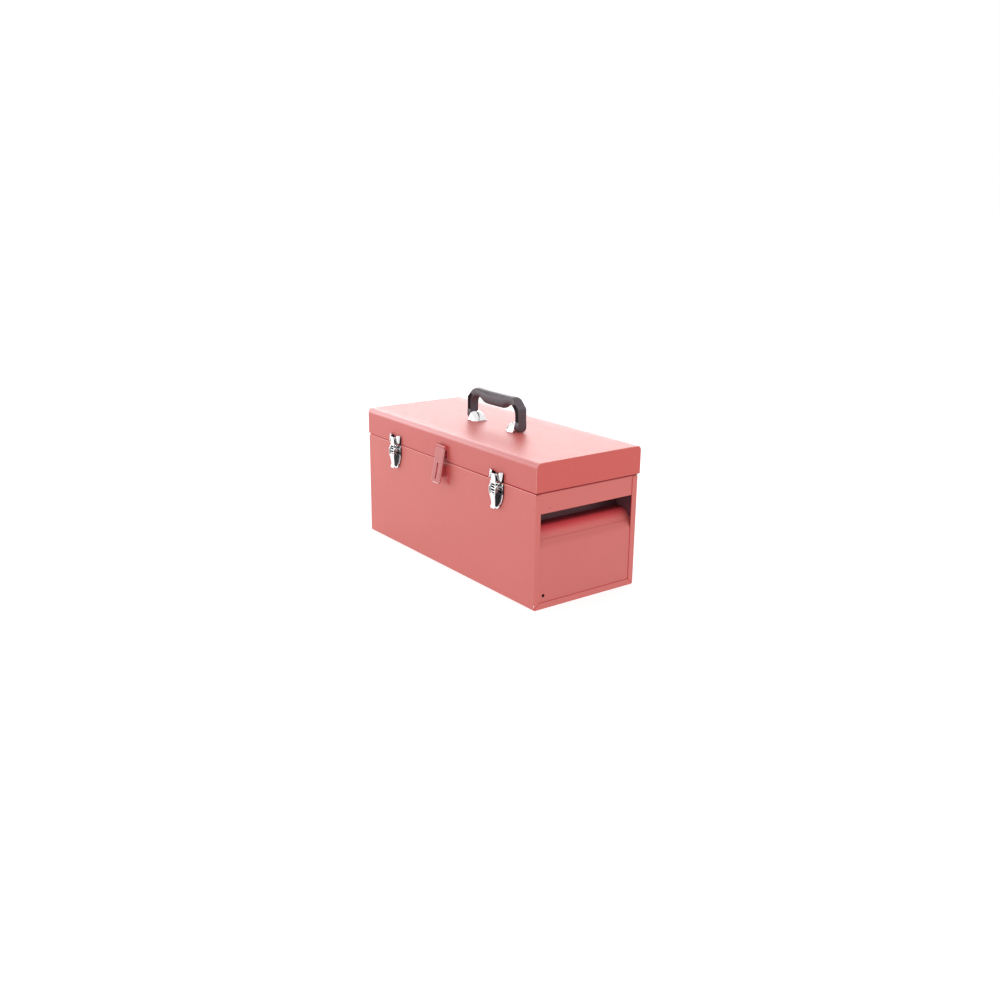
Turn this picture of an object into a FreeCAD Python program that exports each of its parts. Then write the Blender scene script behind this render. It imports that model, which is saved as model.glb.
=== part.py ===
"""Steel toolbox with a lift-out tray, as a parametric document of separate pieces.

Frame: origin at the middle of the bottom, X along the length, front face at -Y, +Z up, millimetres.
"""
import FreeCAD, Part
import math
import os
import re
import Sketcher
from FreeCAD import Rotation, Vector

# Driving sizes. Each one is a cell of the spreadsheet "sizes" under the same name.
SIZES = {
    # body
    "sheet_wall": 1.0,
    "body_length": 505.2,
    "body_depth": 213.4,
    "body_height": 189.0,
    "bottom_bend": 3.0,
    "flange_width": 10.3,
    "lip_step": 1.6,
    "lip_height": 8.0,
    "seam_gap": 0.05,
    # hand recess in each end
    "band_height": 32.0,
    "roll_radius": 1.9,
    "recess_depth": 45.0,
    "recess_mouth": 28.5,
    "recess_run": 26.0,
    "recess_slope": 40.0,
    "recess_bend_low": 20.0,
    "recess_bend_high": 36.0,
    "recess_corner": 4.0,
    "recess_ceiling_drop": 3.0,
    "drain_radius": 2.25,
    "drain_inset": 19.7,
    "drain_height": 22.0,
    # lid
    "lid_end_reach": 1.4,
    "lid_front_reach": 0.3,
    "lid_back_reach": 3.4,
    "lid_gap": 4.0,
    "lid_height": 47.0,
    "lid_bend": 8.0,
    # piano hinge
    "pin_radius": 1.0,
    "pin_clearance": 0.05,
    "knuckle_radius": 1.9,
    "hinge_inset": 2.6,
    "knuckle_gap": 0.3,
    "leaf_wall": 0.8,
    "leaf_height": 22.0,
    "leaf_relief": 0.3,
    "knuckle_pairs": 10,
    # draw latches
    "latch_place": 154.5,
    "latch_width": 35.0,
    "latch_wall": 1.2,
    "latch_drop": 43.8,
    "latch_rivet_inset": 4.0,
    "latch_taper": 17.5,
    "latch_waist": 12.5,
    "latch_waist_drop": 33.0,
    "latch_toe": 4.0,
    "ear_half": 9.1,
    "ear_reach": 8.2,
    "ear_drop": 15.0,
    "lever_pivot_out": 5.0,
    "lever_pivot_drop": 6.5,
    "lever_pin_radius": 1.6,
    "lever_half": 8.8,
    "lever_tail_half": 6.8,
    "lever_wall": 1.1,
    "lever_out": 10.0,
    "lever_top_rise": 1.5,
    "lever_tail_out": 7.4,
    "lever_drop": 35.5,
    "lever_tab_out": 9.0,
    "lever_tab_drop": 42.3,
    "link_pivot_out": 7.4,
    "link_pivot_drop": 14.2,
    "link_pin_radius": 0.9,
    "link_eye_radius": 1.9,
    "link_half": 5.0,
    "link_wall": 1.1,
    "link_side_gap": 0.4,
    "lever_window_drop": 4.3,
    "link_rise": 13.0,
    "link_bead_radius": 1.5,
    "keeper_rise": 1.5,
    "keeper_height": 14.5,
    "keeper_nose_half": 6.0,
    "keeper_nose_rise": 5.0,
    "keeper_nose_height": 5.0,
    "side_clearance": 0.3,
    "rivet_radius": 1.6,
    "rivet_head_radius": 2.6,
    "rivet_head_rise": 0.9,
    # hasp and padlock staple
    "hasp_half": 13.0,
    "hasp_wall": 1.6,
    "hasp_axis_rise": 24.5,
    "hasp_axis_out": 4.6,
    "hasp_knuckle_radius": 2.6,
    "hasp_pin_radius": 1.4,
    "hasp_length": 64.5,
    "hasp_tilt": 11.0,
    "hasp_slot_half": 2.6,
    "hasp_slot_near": 28.0,
    "hasp_slot_far": 58.0,
    "hasp_leaf_drop": 20.0,
    "staple_half": 17.0,
    "staple_drop": 37.0,
    "staple_top_drop": 4.0,
    "staple_wall": 1.2,
    "staple_tab_wall": 2.0,
    "staple_tab_reach": 14.0,
    "staple_tab_drop": 25.5,
    "staple_tab_top_drop": 6.0,
    "padlock_radius": 3.2,
    "padlock_drop": 17.5,
    "padlock_out": 8.7,
    # carrying handle
    "handle_width": 152.0,
    "handle_wall": 18.0,
    "handle_place": 4.0,
    "handle_axis_rise": 11.4,
    "handle_rise": 59.5,
    "handle_leg": 11.0,
    "handle_grip": 16.5,
    "handle_shoulder_in": 16.0,
    "handle_shoulder_drop": 24.5,
    "handle_swell": 8.0,
    "handle_swell_half": 28.0,
    "handle_swell_slope": 9.0,
    "handle_round": 2.5,
    "handle_foot_round": 7.0,
    "bracket_wall": 1.4,
    "bracket_gap": 0.4,
    "bracket_half_depth": 13.5,
    "bracket_rise": 16.5,
    "bracket_run": 17.0,
    "bracket_tab": 7.0,
    "bracket_crest": 5.0,
    "bracket_shoulder": 8.5,
    "handle_pin_radius": 2.6,
    "handle_pin_bite": 7.0,
    "handle_pin_head": 3.4,
    # tray
    "tray_wall": 0.8,
    "tray_side_gap": 1.6,
    "tray_end_gap": 1.4,
    "tray_drop": 49.0,
    "tray_height": 45.0,
    "tray_hem": 3.0,
    "tray_bend": 2.5,
    "divider_height": 34.0,
    "divider_place": 44.0,
    "cross_place": 68.0,
    "rest_leg": 9.0,
    "rest_drop": 10.4,
    "rest_wall": 1.4,
    "rest_end_gap": 17.1,
    "bail_radius": 2.5,
    "bail_reach": 34.0,
    "bail_inset": 6.0,
    "bail_axis_drop": 7.0,
    "bail_bend": 8.0,
    "bail_grip_radius": 6.0,
    "bail_grip_half": 55.0,
}

# Places that follow from the driving sizes, written with their names.
PLACES = {
    "half_length": "body_length / 2",
    "half_depth": "body_depth / 2",
    "end_face": "half_length - sheet_wall",
    "lip_face": "half_depth - lip_step",
    "band_low": "body_height - band_height",
    "recess_floor": "band_low - recess_mouth",
    "recess_bend_start": "recess_floor - recess_run * tan(recess_slope)",
    "recess_ceiling": "body_height - recess_ceiling_drop",
    "pocket_face": "end_face - recess_depth - sheet_wall",
    "lid_length": "body_length + 2 * lid_end_reach",
    "lid_low": "body_height + lid_gap",
    "lid_top": "lid_low + lid_height",
    "lid_front": "-half_depth - lid_front_reach",
    "lid_back": "half_depth + lid_back_reach",
    "hinge_out": "lid_back - sheet_wall - leaf_wall / 8",
    "hinge_up": "lid_low - knuckle_radius - 0.5",
    "hinge_half": "half_length - hinge_inset",
    "knuckle_length": "hinge_half / knuckle_pairs",
    "latch_low": "body_height - latch_drop",
    "ear_low": "body_height - ear_drop",
    "lever_pivot_up": "body_height - lever_pivot_drop",
    "lever_top": "lever_pivot_up + lever_top_rise",
    "lever_low": "body_height - lever_drop",
    "lever_tab_low": "body_height - lever_tab_drop",
    "link_pivot_up": "body_height - link_pivot_drop",
    "lever_knee": "link_pivot_up - 5",
    "link_top": "lid_low + link_rise",
    "keeper_low": "lid_low + keeper_rise",
    "keeper_high": "keeper_low + keeper_height",
    "keeper_nose_low": "lid_low + keeper_nose_rise",
    "keeper_nose_high": "keeper_nose_low + keeper_nose_height",
    "hasp_axis_up": "lid_low + hasp_axis_rise",
    "staple_low": "body_height - staple_drop",
    "staple_high": "body_height - staple_top_drop",
    "staple_tab_low": "body_height - staple_tab_drop",
    "staple_tab_high": "body_height - staple_tab_top_drop",
    "padlock_up": "body_height - padlock_drop",
    "bracket_ear": "handle_width / 2 - handle_leg - bracket_gap",
    "handle_axis": "lid_top + handle_axis_rise",
    "handle_top": "lid_top + handle_rise",
    "handle_inner": "handle_width / 2 - handle_leg",
    "tray_half_depth": "lip_face - sheet_wall - tray_side_gap",
    "tray_half_length": "pocket_face - tray_end_gap",
    "tray_low": "body_height - tray_drop",
    "tray_top": "tray_low + tray_height",
    "rest_half": "lip_face - rest_end_gap",
    "bail_axis": "tray_top - bail_axis_drop",
    "bail_half": "tray_half_length - tray_wall - bail_inset",
}

doc = FreeCAD.newDocument("toolbox")
sheet = doc.addObject("Spreadsheet::Sheet", "sizes")
for row, (name, value) in enumerate(SIZES.items(), start=1):
    sheet.set(f"A{row}", name)
    sheet.set(f"B{row}", str(value))
    sheet.setAlias(f"B{row}", name)
doc.recompute()

parts = []


def bound(text):
    """Write a formula with each name replaced by its cell or by its own formula."""
    def swap(match):
        word = match.group()
        if word in SIZES:
            return "sizes." + word
        if word in PLACES:
            return "(" + bound(PLACES[word]) + ")"
        return word
    return re.sub(r"[a-z][a-z_]*", swap, str(text))


def number(text):
    """The present value of a formula."""
    return float(sheet.evalExpression(bound(text)))


def keep(part, name):
    """Name a finished sub-part and list it for export."""
    part.Label = name
    parts.append(part)
    return part


def bind(thing, prop, text):
    thing.setExpression(prop, bound(text))


def place_point(geometry, point, across, up):
    """The two dimensions that hold a sketch point, each with its formula."""
    return [(Sketcher.Constraint(kind, -1, 1, geometry, point, number(text)), text)
            for kind, text in (("DistanceX", across), ("DistanceY", up))]


def constrain(sketch, rules):
    """Add all constraints at once, then bind the dimensions to their formulas."""
    indices = sketch.addConstraint([rule for rule, _ in rules])
    for index, (_, text) in zip(indices, rules):
        if text is not None:
            bind(sketch, f"Constraints[{index}]", text)


def circle(sketch, across, up, radius):
    """A dimensioned circle."""
    centre = Vector(number(across), number(up), 0)
    ring = sketch.addGeometry(Part.Circle(centre, Vector(0, 0, 1), number(radius)), False)
    size = (Sketcher.Constraint("Radius", ring, number(radius)), radius)
    constrain(sketch, [size] + place_point(ring, 3, across, up))


def outline(sketch, corners):
    """A closed outline of straight sides; a corner is (across, up) or (across, up, radius)."""
    corners = [(*corner, 0)[:3] for corner in corners]
    points = [Vector(number(across), number(up), 0) for across, up, _ in corners]
    radii = [number(radius) for *_, radius in corners]
    starts, ends, arcs = [], [], []
    for i, point in enumerate(points):
        back = (points[i - 1] - point).normalize()
        ahead = (points[(i + 1) % len(points)] - point).normalize()
        half = back.getAngle(ahead) / 2
        trim = radii[i] / math.tan(half)
        starts.append(point + back * trim)
        ends.append(point + ahead * trim)
        centre = point + (back + ahead).normalize() * (radii[i] / math.sin(half))
        turns = [math.atan2(place.y - centre.y, place.x - centre.x) for place in (starts[i], ends[i])]
        left = back.cross(ahead).z < 0
        ring = Part.Circle(centre, Vector(0, 0, 1), radii[i]) if radii[i] else None
        arcs.append(Part.ArcOfCircle(ring, *(turns if left else turns[::-1])) if ring else None)
    sides = [sketch.addGeometry(Part.LineSegment(ends[i], starts[(i + 1) % len(points)]), False)
             for i in range(len(points))]
    rules = []
    for i, (across, up, radius) in enumerate(corners):
        before, after = sides[i - 1], sides[i]
        if arcs[i] is None:
            rules.append((Sketcher.Constraint("Coincident", before, 2, after, 1), None))
            rules += place_point(after, 1, across, up)
            continue
        arc = sketch.addGeometry(arcs[i], False)
        first = 1 if sketch.Geometry[arc].StartPoint.isEqual(starts[i], 1e-6) else 2
        corner = sketch.addGeometry(Part.Point(points[i]), True)
        rules += [(Sketcher.Constraint("Tangent", before, 2, arc, first), None),
                  (Sketcher.Constraint("Tangent", arc, 3 - first, after, 1), None),
                  (Sketcher.Constraint("Radius", arc, radii[i]), radius),
                  (Sketcher.Constraint("PointOnObject", corner, 1, before), None),
                  (Sketcher.Constraint("PointOnObject", corner, 1, after), None)]
        rules += place_point(corner, 1, across, up)
    constrain(sketch, rules)


def drawing(body, plane, place, corners=None, circles=()):
    """A sketch on one of the body's origin planes, at a place along that plane's axis."""
    sketch = body.newObject("Sketcher::SketchObject", body.Name + "_sketch")
    support = next(flat for flat in body.Origin.OriginFeatures if flat.Role == plane + "_Plane")
    sketch.AttachmentSupport = [(support, "")]
    sketch.MapMode = "FlatFace"
    along = f"-({place})" if plane == "XZ" else place
    bind(sketch, "AttachmentOffset.Base.z", along)
    if corners:
        outline(sketch, corners)
    for ring in circles:
        circle(sketch, *ring)
    return sketch


def pad(body, plane, low, high, corners=None, circles=()):
    """Add material between two places along the plane's axis."""
    sketch = drawing(body, plane, high if plane == "XZ" else low, corners, circles)
    feature = body.newObject("PartDesign::Pad", body.Name + "_pad")
    feature.Profile = sketch
    bind(feature, "Length", f"({high}) - ({low})")
    return feature


def pocket(body, plane, low, high, corners=None, circles=()):
    """Cut between two places along the plane's axis, and make sure that it cuts."""
    doc.recompute()
    before = body.Shape.Volume
    sketch = drawing(body, plane, low if plane == "XZ" else high, corners, circles)
    feature = body.newObject("PartDesign::Pocket", body.Name + "_pocket")
    feature.Profile = sketch
    bind(feature, "Length", f"({high}) - ({low})")
    doc.recompute()
    if body.Shape.Volume >= before - 0.01:
        raise ValueError(f"a pocket in {body.Name} cut nothing")
    return feature


def round_edges(body, radius, wanted):
    """Round the edges of the body that the test picks."""
    doc.recompute()
    base = body.Tip
    names = [f"Edge{i}" for i, edge in enumerate(base.Shape.Edges, start=1) if wanted(edge)]
    feature = body.newObject("PartDesign::Fillet", body.Name + "_fillet")
    feature.Base = (base, names)
    bind(feature, "Radius", radius)
    return feature


def new_body(name):
    return keep(doc.addObject("PartDesign::Body", name), name)


TURNS = {"x": Rotation(Vector(0, 1, 0), 90), "y": Rotation(Vector(1, 0, 0), -90), "z": Rotation()}


def rod(name, axis, start, end, across, up, radius):
    """A cylinder along an axis; across and up are its other two coordinates in x, y, z order."""
    cylinder = doc.addObject("Part::Cylinder", name)
    cylinder.Placement.Rotation = TURNS[axis]
    bind(cylinder, "Radius", radius)
    bind(cylinder, "Height", f"({end}) - ({start})")
    spots = {"x": (start, across, up), "y": (across, start, up), "z": (across, up, start)}[axis]
    for letter, text in zip("xyz", spots):
        bind(cylinder, f"Placement.Base.{letter}", text)
    return cylinder


def block(name, across, along, up):
    """A box from its three pairs of low and high places."""
    cuboid = doc.addObject("Part::Box", name)
    for side, letter, (low, high) in zip(("Length", "Width", "Height"), "xyz", (across, along, up)):
        bind(cuboid, side, f"({high}) - ({low})")
        bind(cuboid, f"Placement.Base.{letter}", low)
    return cuboid


def joined(name, pieces):
    fuse = doc.addObject("Part::MultiFuse", name)
    fuse.Shapes = pieces
    return fuse


def group(name, pieces):
    """Several separate solids in one node."""
    compound = doc.addObject("Part::Compound", name)
    compound.Links = pieces
    return keep(compound, name)


def rivet_y(name, across, up, front, back):
    """A rivet along Y: a shank between two faces with a low head on the outer and inner side."""
    shank = rod(name + "_shank", "y", front, back, across, up, "rivet_radius - pin_clearance")
    outer = rod(name + "_outer", "y", f"({front}) - rivet_head_rise", front, across, up,
                "rivet_head_radius")
    inner = rod(name + "_inner", "y", back, f"({back}) + rivet_head_rise", across, up,
                "rivet_head_radius")
    return joined(name, [shank, outer, inner])


def rivet_z(name, across, along, low, high):
    """A rivet along Z, with heads below and above the two faces."""
    shank = rod(name + "_shank", "z", low, high, across, along, "rivet_radius - pin_clearance")
    below = rod(name + "_below", "z", f"({low}) - rivet_head_rise", low, across, along,
                "rivet_head_radius")
    above = rod(name + "_above", "z", high, f"({high}) + rivet_head_rise", across, along,
                "rivet_head_radius")
    return joined(name, [shank, below, above])


SIDES = (("left", -1), ("right", 1))

# Rivet places on the front wall and on the lid, shared by the sheets and by the rivets.
LATCH_RIVETS = [(f"{side} * latch_place + {edge} * (latch_width / 2 - latch_rivet_inset)", height)
                for _, side in SIDES for edge in (-1, 1) for height in ("body_height - 19.5", "body_height - 4.5")]
KEEPER_RIVETS = [(f"{side} * latch_place + {edge} * (latch_width / 2 - latch_rivet_inset)",
                  "keeper_high - 5.5")
                 for _, side in SIDES for edge in (-1, 1)]
STAPLE_RIVETS = [(f"{edge} * (staple_half - 6)", height) for edge in (-1, 1)
                 for height in ("staple_low + 6", "staple_high - 6")]
HASP_RIVETS = [(f"{edge} * (hasp_half - 5)", "hasp_axis_up - 14") for edge in (-1, 1)]
BRACKET_RIVETS = [(f"{side} * (bracket_ear - bracket_run - bracket_tab / 2)",
                   f"handle_place + {edge} * 7") for _, side in SIDES for edge in (-1, 1)]


def wrap(body, wall, front, back, low, high, bend, length):
    """A sheet bent in a U that opens upwards or downwards, as one pad along X."""
    inside = f"({bend}) - {wall}"
    turn = wall if number(low) < number(high) else "-" + wall
    pad(body, "YZ", f"-({length}) / 2", f"({length}) / 2", [
        (front, high), (front, low, bend), (back, low, bend), (back, high),
        (f"{back} - {wall}", high), (f"{back} - {wall}", f"{low} + {turn}", inside),
        (f"{front} + {wall}", f"{low} + {turn}", inside), (f"{front} + {wall}", high)])


def body_shell():
    """Front, bottom and back in one bent sheet, with flanges round each end and a lip for the lid."""
    body = new_body("body_shell")
    wrap(body, "sheet_wall", "-half_depth", "half_depth", "0", "body_height", "bottom_bend",
         "body_length")
    flange = [("-half_depth", "body_height"), ("-half_depth", "0", "bottom_bend"),
              ("half_depth", "0", "bottom_bend"), ("half_depth", "body_height"),
              ("half_depth - flange_width", "body_height"), ("half_depth - flange_width", "flange_width"),
              ("-half_depth + flange_width", "flange_width"),
              ("-half_depth + flange_width", "body_height")]
    pad(body, "YZ", "end_face", "half_length", flange)
    pad(body, "YZ", "-half_length", "-end_face", flange)
    for side in (-1, 1):
        shelf = [(f"{side} * half_depth", "body_height - sheet_wall"),
                 (f"{side} * half_depth", "body_height"),
                 (f"{side} * lip_face", "body_height"),
                 (f"{side} * lip_face", "body_height + lip_height"),
                 (f"{side} * (lip_face - sheet_wall)", "body_height + lip_height"),
                 (f"{side} * (lip_face - sheet_wall)", "body_height - sheet_wall")]
        reach = "end_face - sheet_wall - seam_gap"
        pad(body, "YZ", f"-({reach})", reach, shelf)
    front_holes = [(across, up, "rivet_radius") for across, up in LATCH_RIVETS + STAPLE_RIVETS]
    pocket(body, "XZ", "-half_depth - 1", "-half_depth + sheet_wall + 1", circles=front_holes)


def end_panel(name, side):
    """Flat end sheet that curves in as the floor of the hand recess and rises as its back wall."""
    def at(depth):
        return f"{side} * (end_face - ({depth}))"
    body = new_body(name + "_end_panel")
    tilt = "recess_slope"
    pad(body, "XZ", "-lip_face", "lip_face", [
        (at("0"), "bottom_bend"),
        (at("0"), "recess_bend_start", "recess_bend_low"),
        (at("recess_run"), "recess_floor", "recess_bend_high"),
        (at("recess_depth"), "recess_floor", "recess_corner"),
        (at("recess_depth"), "recess_ceiling", "recess_corner"),
        (at("sheet_wall"), "recess_ceiling"),
        (at("sheet_wall"), "recess_ceiling + sheet_wall"),
        (at("recess_depth + sheet_wall"), "recess_ceiling + sheet_wall", "recess_corner + sheet_wall"),
        (at("recess_depth + sheet_wall"), "recess_floor - sheet_wall", "recess_corner + sheet_wall"),
        (at(f"recess_run + sheet_wall * tan({tilt} / 2)"), "recess_floor - sheet_wall",
         "recess_bend_high - sheet_wall"),
        (at("sheet_wall"), f"recess_bend_start + sheet_wall * (tan({tilt}) - 1 / cos({tilt}))",
         "recess_bend_low - sheet_wall"),
        (at("sheet_wall"), "bottom_bend")])
    drain = ("-half_depth + drain_inset", "drain_height", "drain_radius")
    low, high = ("end_face - 3", "end_face + 1") if side > 0 else ("-end_face - 1", "-end_face + 3")
    pocket(body, "YZ", low, high, circles=[drain])


def grip_band(name, side):
    """Upright strip across the top of the end, with a rolled lower edge for the fingers."""
    body = new_body(name + "_grip_band")
    faces = sorted((f"{side} * end_face", f"{side} * (end_face - sheet_wall)"), key=number)
    top = "body_height + lip_height"
    middle = "band_low + roll_radius"
    pad(body, "YZ", *faces, [("-lip_face", middle), ("lip_face", middle), ("lip_face", top),
                             ("-lip_face", top)])
    pad(body, "XZ", "-lip_face", "lip_face",
        circles=[(f"{side} * (end_face - roll_radius)", middle, "roll_radius")])


def tray_rest(name, side):
    """Angle fixed to the recess wall that the tray stands on."""
    body = new_body("tray_rest_" + name)
    wall = f"{side} * pocket_face"
    inner = f"{side} * (pocket_face - rest_wall)"
    tip = f"{side} * (pocket_face - rest_leg)"
    pad(body, "XZ", "-rest_half", "rest_half", [
        (wall, "tray_low - rest_drop"), (wall, "tray_low"), (tip, "tray_low"),
        (tip, "tray_low - rest_wall"), (inner, "tray_low - rest_wall"),
        (inner, "tray_low - rest_drop")])


def lid():
    """One bent sheet for front, top and back, and a flat plate let into each end."""
    body = new_body("lid_cover")
    wrap(body, "sheet_wall", "lid_front", "lid_back", "lid_top", "lid_low", "lid_bend", "lid_length")
    front_holes = [(across, up, "rivet_radius") for across, up in KEEPER_RIVETS + HASP_RIVETS]
    pocket(body, "XZ", "lid_front - 1", "lid_front + sheet_wall + 1", circles=front_holes)
    top_holes = [(across, along, "rivet_radius") for across, along in BRACKET_RIVETS]
    pocket(body, "XY", "lid_top - sheet_wall - 1", "lid_top + 1", circles=top_holes)
    inset = "(sheet_wall + seam_gap)"
    for name, side in SIDES:
        plate = new_body("lid_end_" + name)
        faces = sorted((f"{side} * lid_length / 2", f"{side} * (lid_length / 2 - sheet_wall)"), key=number)
        pad(plate, "YZ", *faces, [
            (f"lid_front + {inset}", "lid_low"), (f"lid_back - {inset}", "lid_low"),
            (f"lid_back - {inset}", f"lid_top - {inset}", f"lid_bend - {inset}"),
            (f"lid_front + {inset}", f"lid_top - {inset}", f"lid_bend - {inset}")])


def leaf(name, plate, neck, first):
    """One hinge leaf: a long plate and every second knuckle."""
    body = new_body(name)
    pad(body, "YZ", "-hinge_half", "hinge_half", plate)
    start = f"-hinge_half + {first} * knuckle_length + knuckle_gap / 2"
    end = f"-hinge_half + {first + 1} * knuckle_length - knuckle_gap / 2"
    arm = pad(body, "YZ", start, end, neck)
    ring = pad(body, "YZ", start, end, circles=[("hinge_out", "hinge_up", "knuckle_radius"),
                                                ("hinge_out", "hinge_up", "pin_radius + pin_clearance")])
    pattern = body.newObject("PartDesign::LinearPattern", name + "_knuckles")
    pattern.Originals = [arm, ring]
    pattern.Direction = (ring.Profile[0], ["N_Axis"])
    bind(pattern, "Length", "2 * knuckle_length * (knuckle_pairs - 1)")
    bind(pattern, "Occurrences", "knuckle_pairs")
    body.Tip = pattern


def hinge():
    """Piano hinge at the rear seam: a leaf on the back wall, a leaf in the lid and one long pin."""
    grip = "(knuckle_radius + pin_radius + pin_clearance) / 2"
    bar = ["half_depth", "half_depth + leaf_wall"]
    under = "hinge_up - knuckle_radius - leaf_relief"
    leaf("hinge_body_leaf",
         [(bar[0], under), (bar[1], under), (bar[1], "hinge_up - leaf_height"),
          (bar[0], "hinge_up - leaf_height")],
         [(bar[0], "hinge_up"), (f"hinge_out - {grip}", "hinge_up"), (bar[1], under + " - 1"),
          (bar[0], under + " - 1")],
         0)
    inner = ["lid_back - sheet_wall - leaf_wall", "lid_back - sheet_wall"]
    over = "hinge_up + knuckle_radius + leaf_relief"
    reach = f"hinge_up + {grip}"
    leaf("hinge_lid_leaf",
         [(inner[0], over), (inner[1], over), (inner[1], "hinge_up + leaf_height"),
          (inner[0], "hinge_up + leaf_height")],
         [(inner[0], reach), (inner[1], reach), (inner[1], over + " + 1"), (inner[0], over + " + 1")],
         1)
    keep(rod("hinge_pin", "x", "-hinge_half", "hinge_half", "hinge_out", "hinge_up", "pin_radius"),
         "hinge_pin")


def front(out):
    """Y of a place that stands this far out from the body's front face."""
    return f"-half_depth - ({out})"


def latch(name, side):
    """Draw latch: base plate with ears, lever, pull link on the lever, and the keeper on the lid."""
    middle = f"{side} * latch_place"

    def at(across):
        return f"{middle} + ({across})"

    plate = new_body("latch_plate_" + name)
    half = "latch_width / 2"
    pad(plate, "XZ", front("latch_wall"), front("0"), [
        (at(f"-{half}"), "body_height - 0.5", "2"), (at(half), "body_height - 0.5", "2"),
        (at(half), "body_height - latch_taper", "9"), (at("latch_waist"), "body_height - latch_waist_drop", "8"),
        (at("latch_toe"), "latch_low", "5"), (at("-latch_toe"), "latch_low", "5"),
        (at("-latch_waist"), "body_height - latch_waist_drop", "8"),
        (at(f"-{half}"), "body_height - latch_taper", "9")])
    for edge in (-1, 1):
        faces = sorted((at(f"{edge} * ear_half"), at(f"{edge} * (ear_half + latch_wall)")), key=number)
        pad(plate, "YZ", *faces, [
            (front("0.5"), "ear_low"), (front("0.5"), "body_height - 0.5"),
            (front("ear_reach"), "body_height - 0.5", "4"), (front("ear_reach"), "ear_low", "3")])
    span = (at("-ear_half - latch_wall - 1"), at("ear_half + latch_wall + 1"))
    pivot = (front("lever_pivot_out"), "lever_pivot_up")
    pocket(plate, "YZ", *span, circles=[(*pivot, "lever_pin_radius + pin_clearance")])
    holes = [(across, up, "rivet_radius") for across, up in LATCH_RIVETS
             if number(across) * side > 0]
    pocket(plate, "XZ", front("latch_wall + 1"), front("-1"), circles=holes)

    pin = "latch_pin_" + name
    keep(rod(pin, "x", *span, *pivot, "lever_pin_radius"), pin)

    lever = new_body("latch_lever_" + name)
    face, skin = "lever_out", "lever_out + lever_wall"
    pad(lever, "YZ", at("-lever_tail_half"), at("lever_tail_half"), [
        (front(face), "lever_top"), (front(skin), "lever_top"), (front(skin), "lever_knee", "8"),
        (front("lever_tail_out + lever_wall"), "lever_low", "4"),
        (front("lever_tab_out + lever_wall"), "lever_tab_low"), (front("lever_tab_out"), "lever_tab_low"),
        (front("lever_tail_out"), "lever_low", "4"), (front(face), "lever_knee", "7")])
    for edge in (-1, 1):
        cheek = sorted((at(f"{edge} * lever_half"), at(f"{edge} * (lever_half - lever_wall)")), key=number)
        pad(lever, "YZ", *cheek, [
            (front("lever_pivot_out - 3"), "lever_top - 1", "2"), (front(skin), "lever_top"),
            (front(skin), "link_pivot_up - 4"), (front("link_pivot_out - 2.4"), "link_pivot_up - 4", "2")])
        web = sorted((at(f"{edge} * lever_half"), at(f"{edge} * (lever_tail_half - 0.5)")), key=number)
        pad(lever, "YZ", *web, [(front(face), "lever_top"), (front(skin), "lever_top"),
                                (front(skin), "link_pivot_up - 4"), (front(face), "link_pivot_up - 4")])
    pocket(lever, "XZ", front(f"{skin} + 1"), front(f"{face} - 1"), [
        (at("-link_half - link_side_gap"), "lever_top + 1"), (at("link_half + link_side_gap"), "lever_top + 1"),
        (at("link_half + link_side_gap"), "link_pivot_up - lever_window_drop", "1.5"),
        (at("-link_half - link_side_gap"), "link_pivot_up - lever_window_drop", "1.5")])
    pocket(lever, "YZ", at("-lever_half - 1"), at("lever_half + 1"), circles=[
        (*pivot, "lever_pin_radius + pin_clearance"),
        (front("link_pivot_out"), "link_pivot_up", "link_pin_radius + pin_clearance")])

    pin = "latch_link_pin_" + name
    keep(rod(pin, "x", at("-lever_half"), at("lever_half"), front("link_pivot_out"), "link_pivot_up",
             "link_pin_radius"), pin)

    link = new_body("latch_link_" + name)
    inner = "link_pivot_out - link_wall / 2"
    outer = "link_pivot_out + link_wall / 2"
    pad(link, "YZ", at("-link_half"), at("link_half"),
        circles=[(front("link_pivot_out"), "link_pivot_up", "link_eye_radius")])
    pad(link, "YZ", at("-link_half"), at("link_half"), [
        (front(inner), "link_pivot_up"), (front(outer), "link_pivot_up"),
        (front(outer), "link_top"), (front(inner), "link_top")])
    pad(link, "YZ", at("-link_half"), at("link_half"),
        circles=[(front("link_pivot_out + link_bead_radius - link_wall / 2"), "link_top",
                  "link_bead_radius")])
    pocket(link, "YZ", at("-link_half - 1"), at("link_half + 1"), circles=[
        (front("link_pivot_out"), "link_pivot_up", "link_pin_radius + pin_clearance")])

    keeper = new_body("latch_keeper_" + name)
    back = "lid_front_reach"
    pad(keeper, "XZ", front(f"{back} + latch_wall"), front(back), [
        (at(f"-{half}"), "keeper_low", "2"), (at(half), "keeper_low", "2"),
        (at(half), "keeper_high - 3", "3"), (at("8"), "keeper_high", "3"),
        (at("0"), "keeper_high - 4", "4"), (at("-8"), "keeper_high", "3"),
        (at(f"-{half}"), "keeper_high - 3", "3")])
    tip = "link_pivot_out - link_wall / 2 - side_clearance"
    pad(keeper, "YZ", at("-keeper_nose_half"), at("keeper_nose_half"), [
        (front(back), "keeper_nose_low"), (front(tip), "keeper_nose_low + 1", "1"),
        (front(tip), "keeper_nose_high", "1.5"), (front(back), "keeper_nose_high")])
    holes = [(across, up, "rivet_radius") for across, up in KEEPER_RIVETS
             if number(across) * side > 0]
    pocket(keeper, "XZ", front(f"{back} + latch_wall + 1"), front("-1"), circles=holes)


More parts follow.
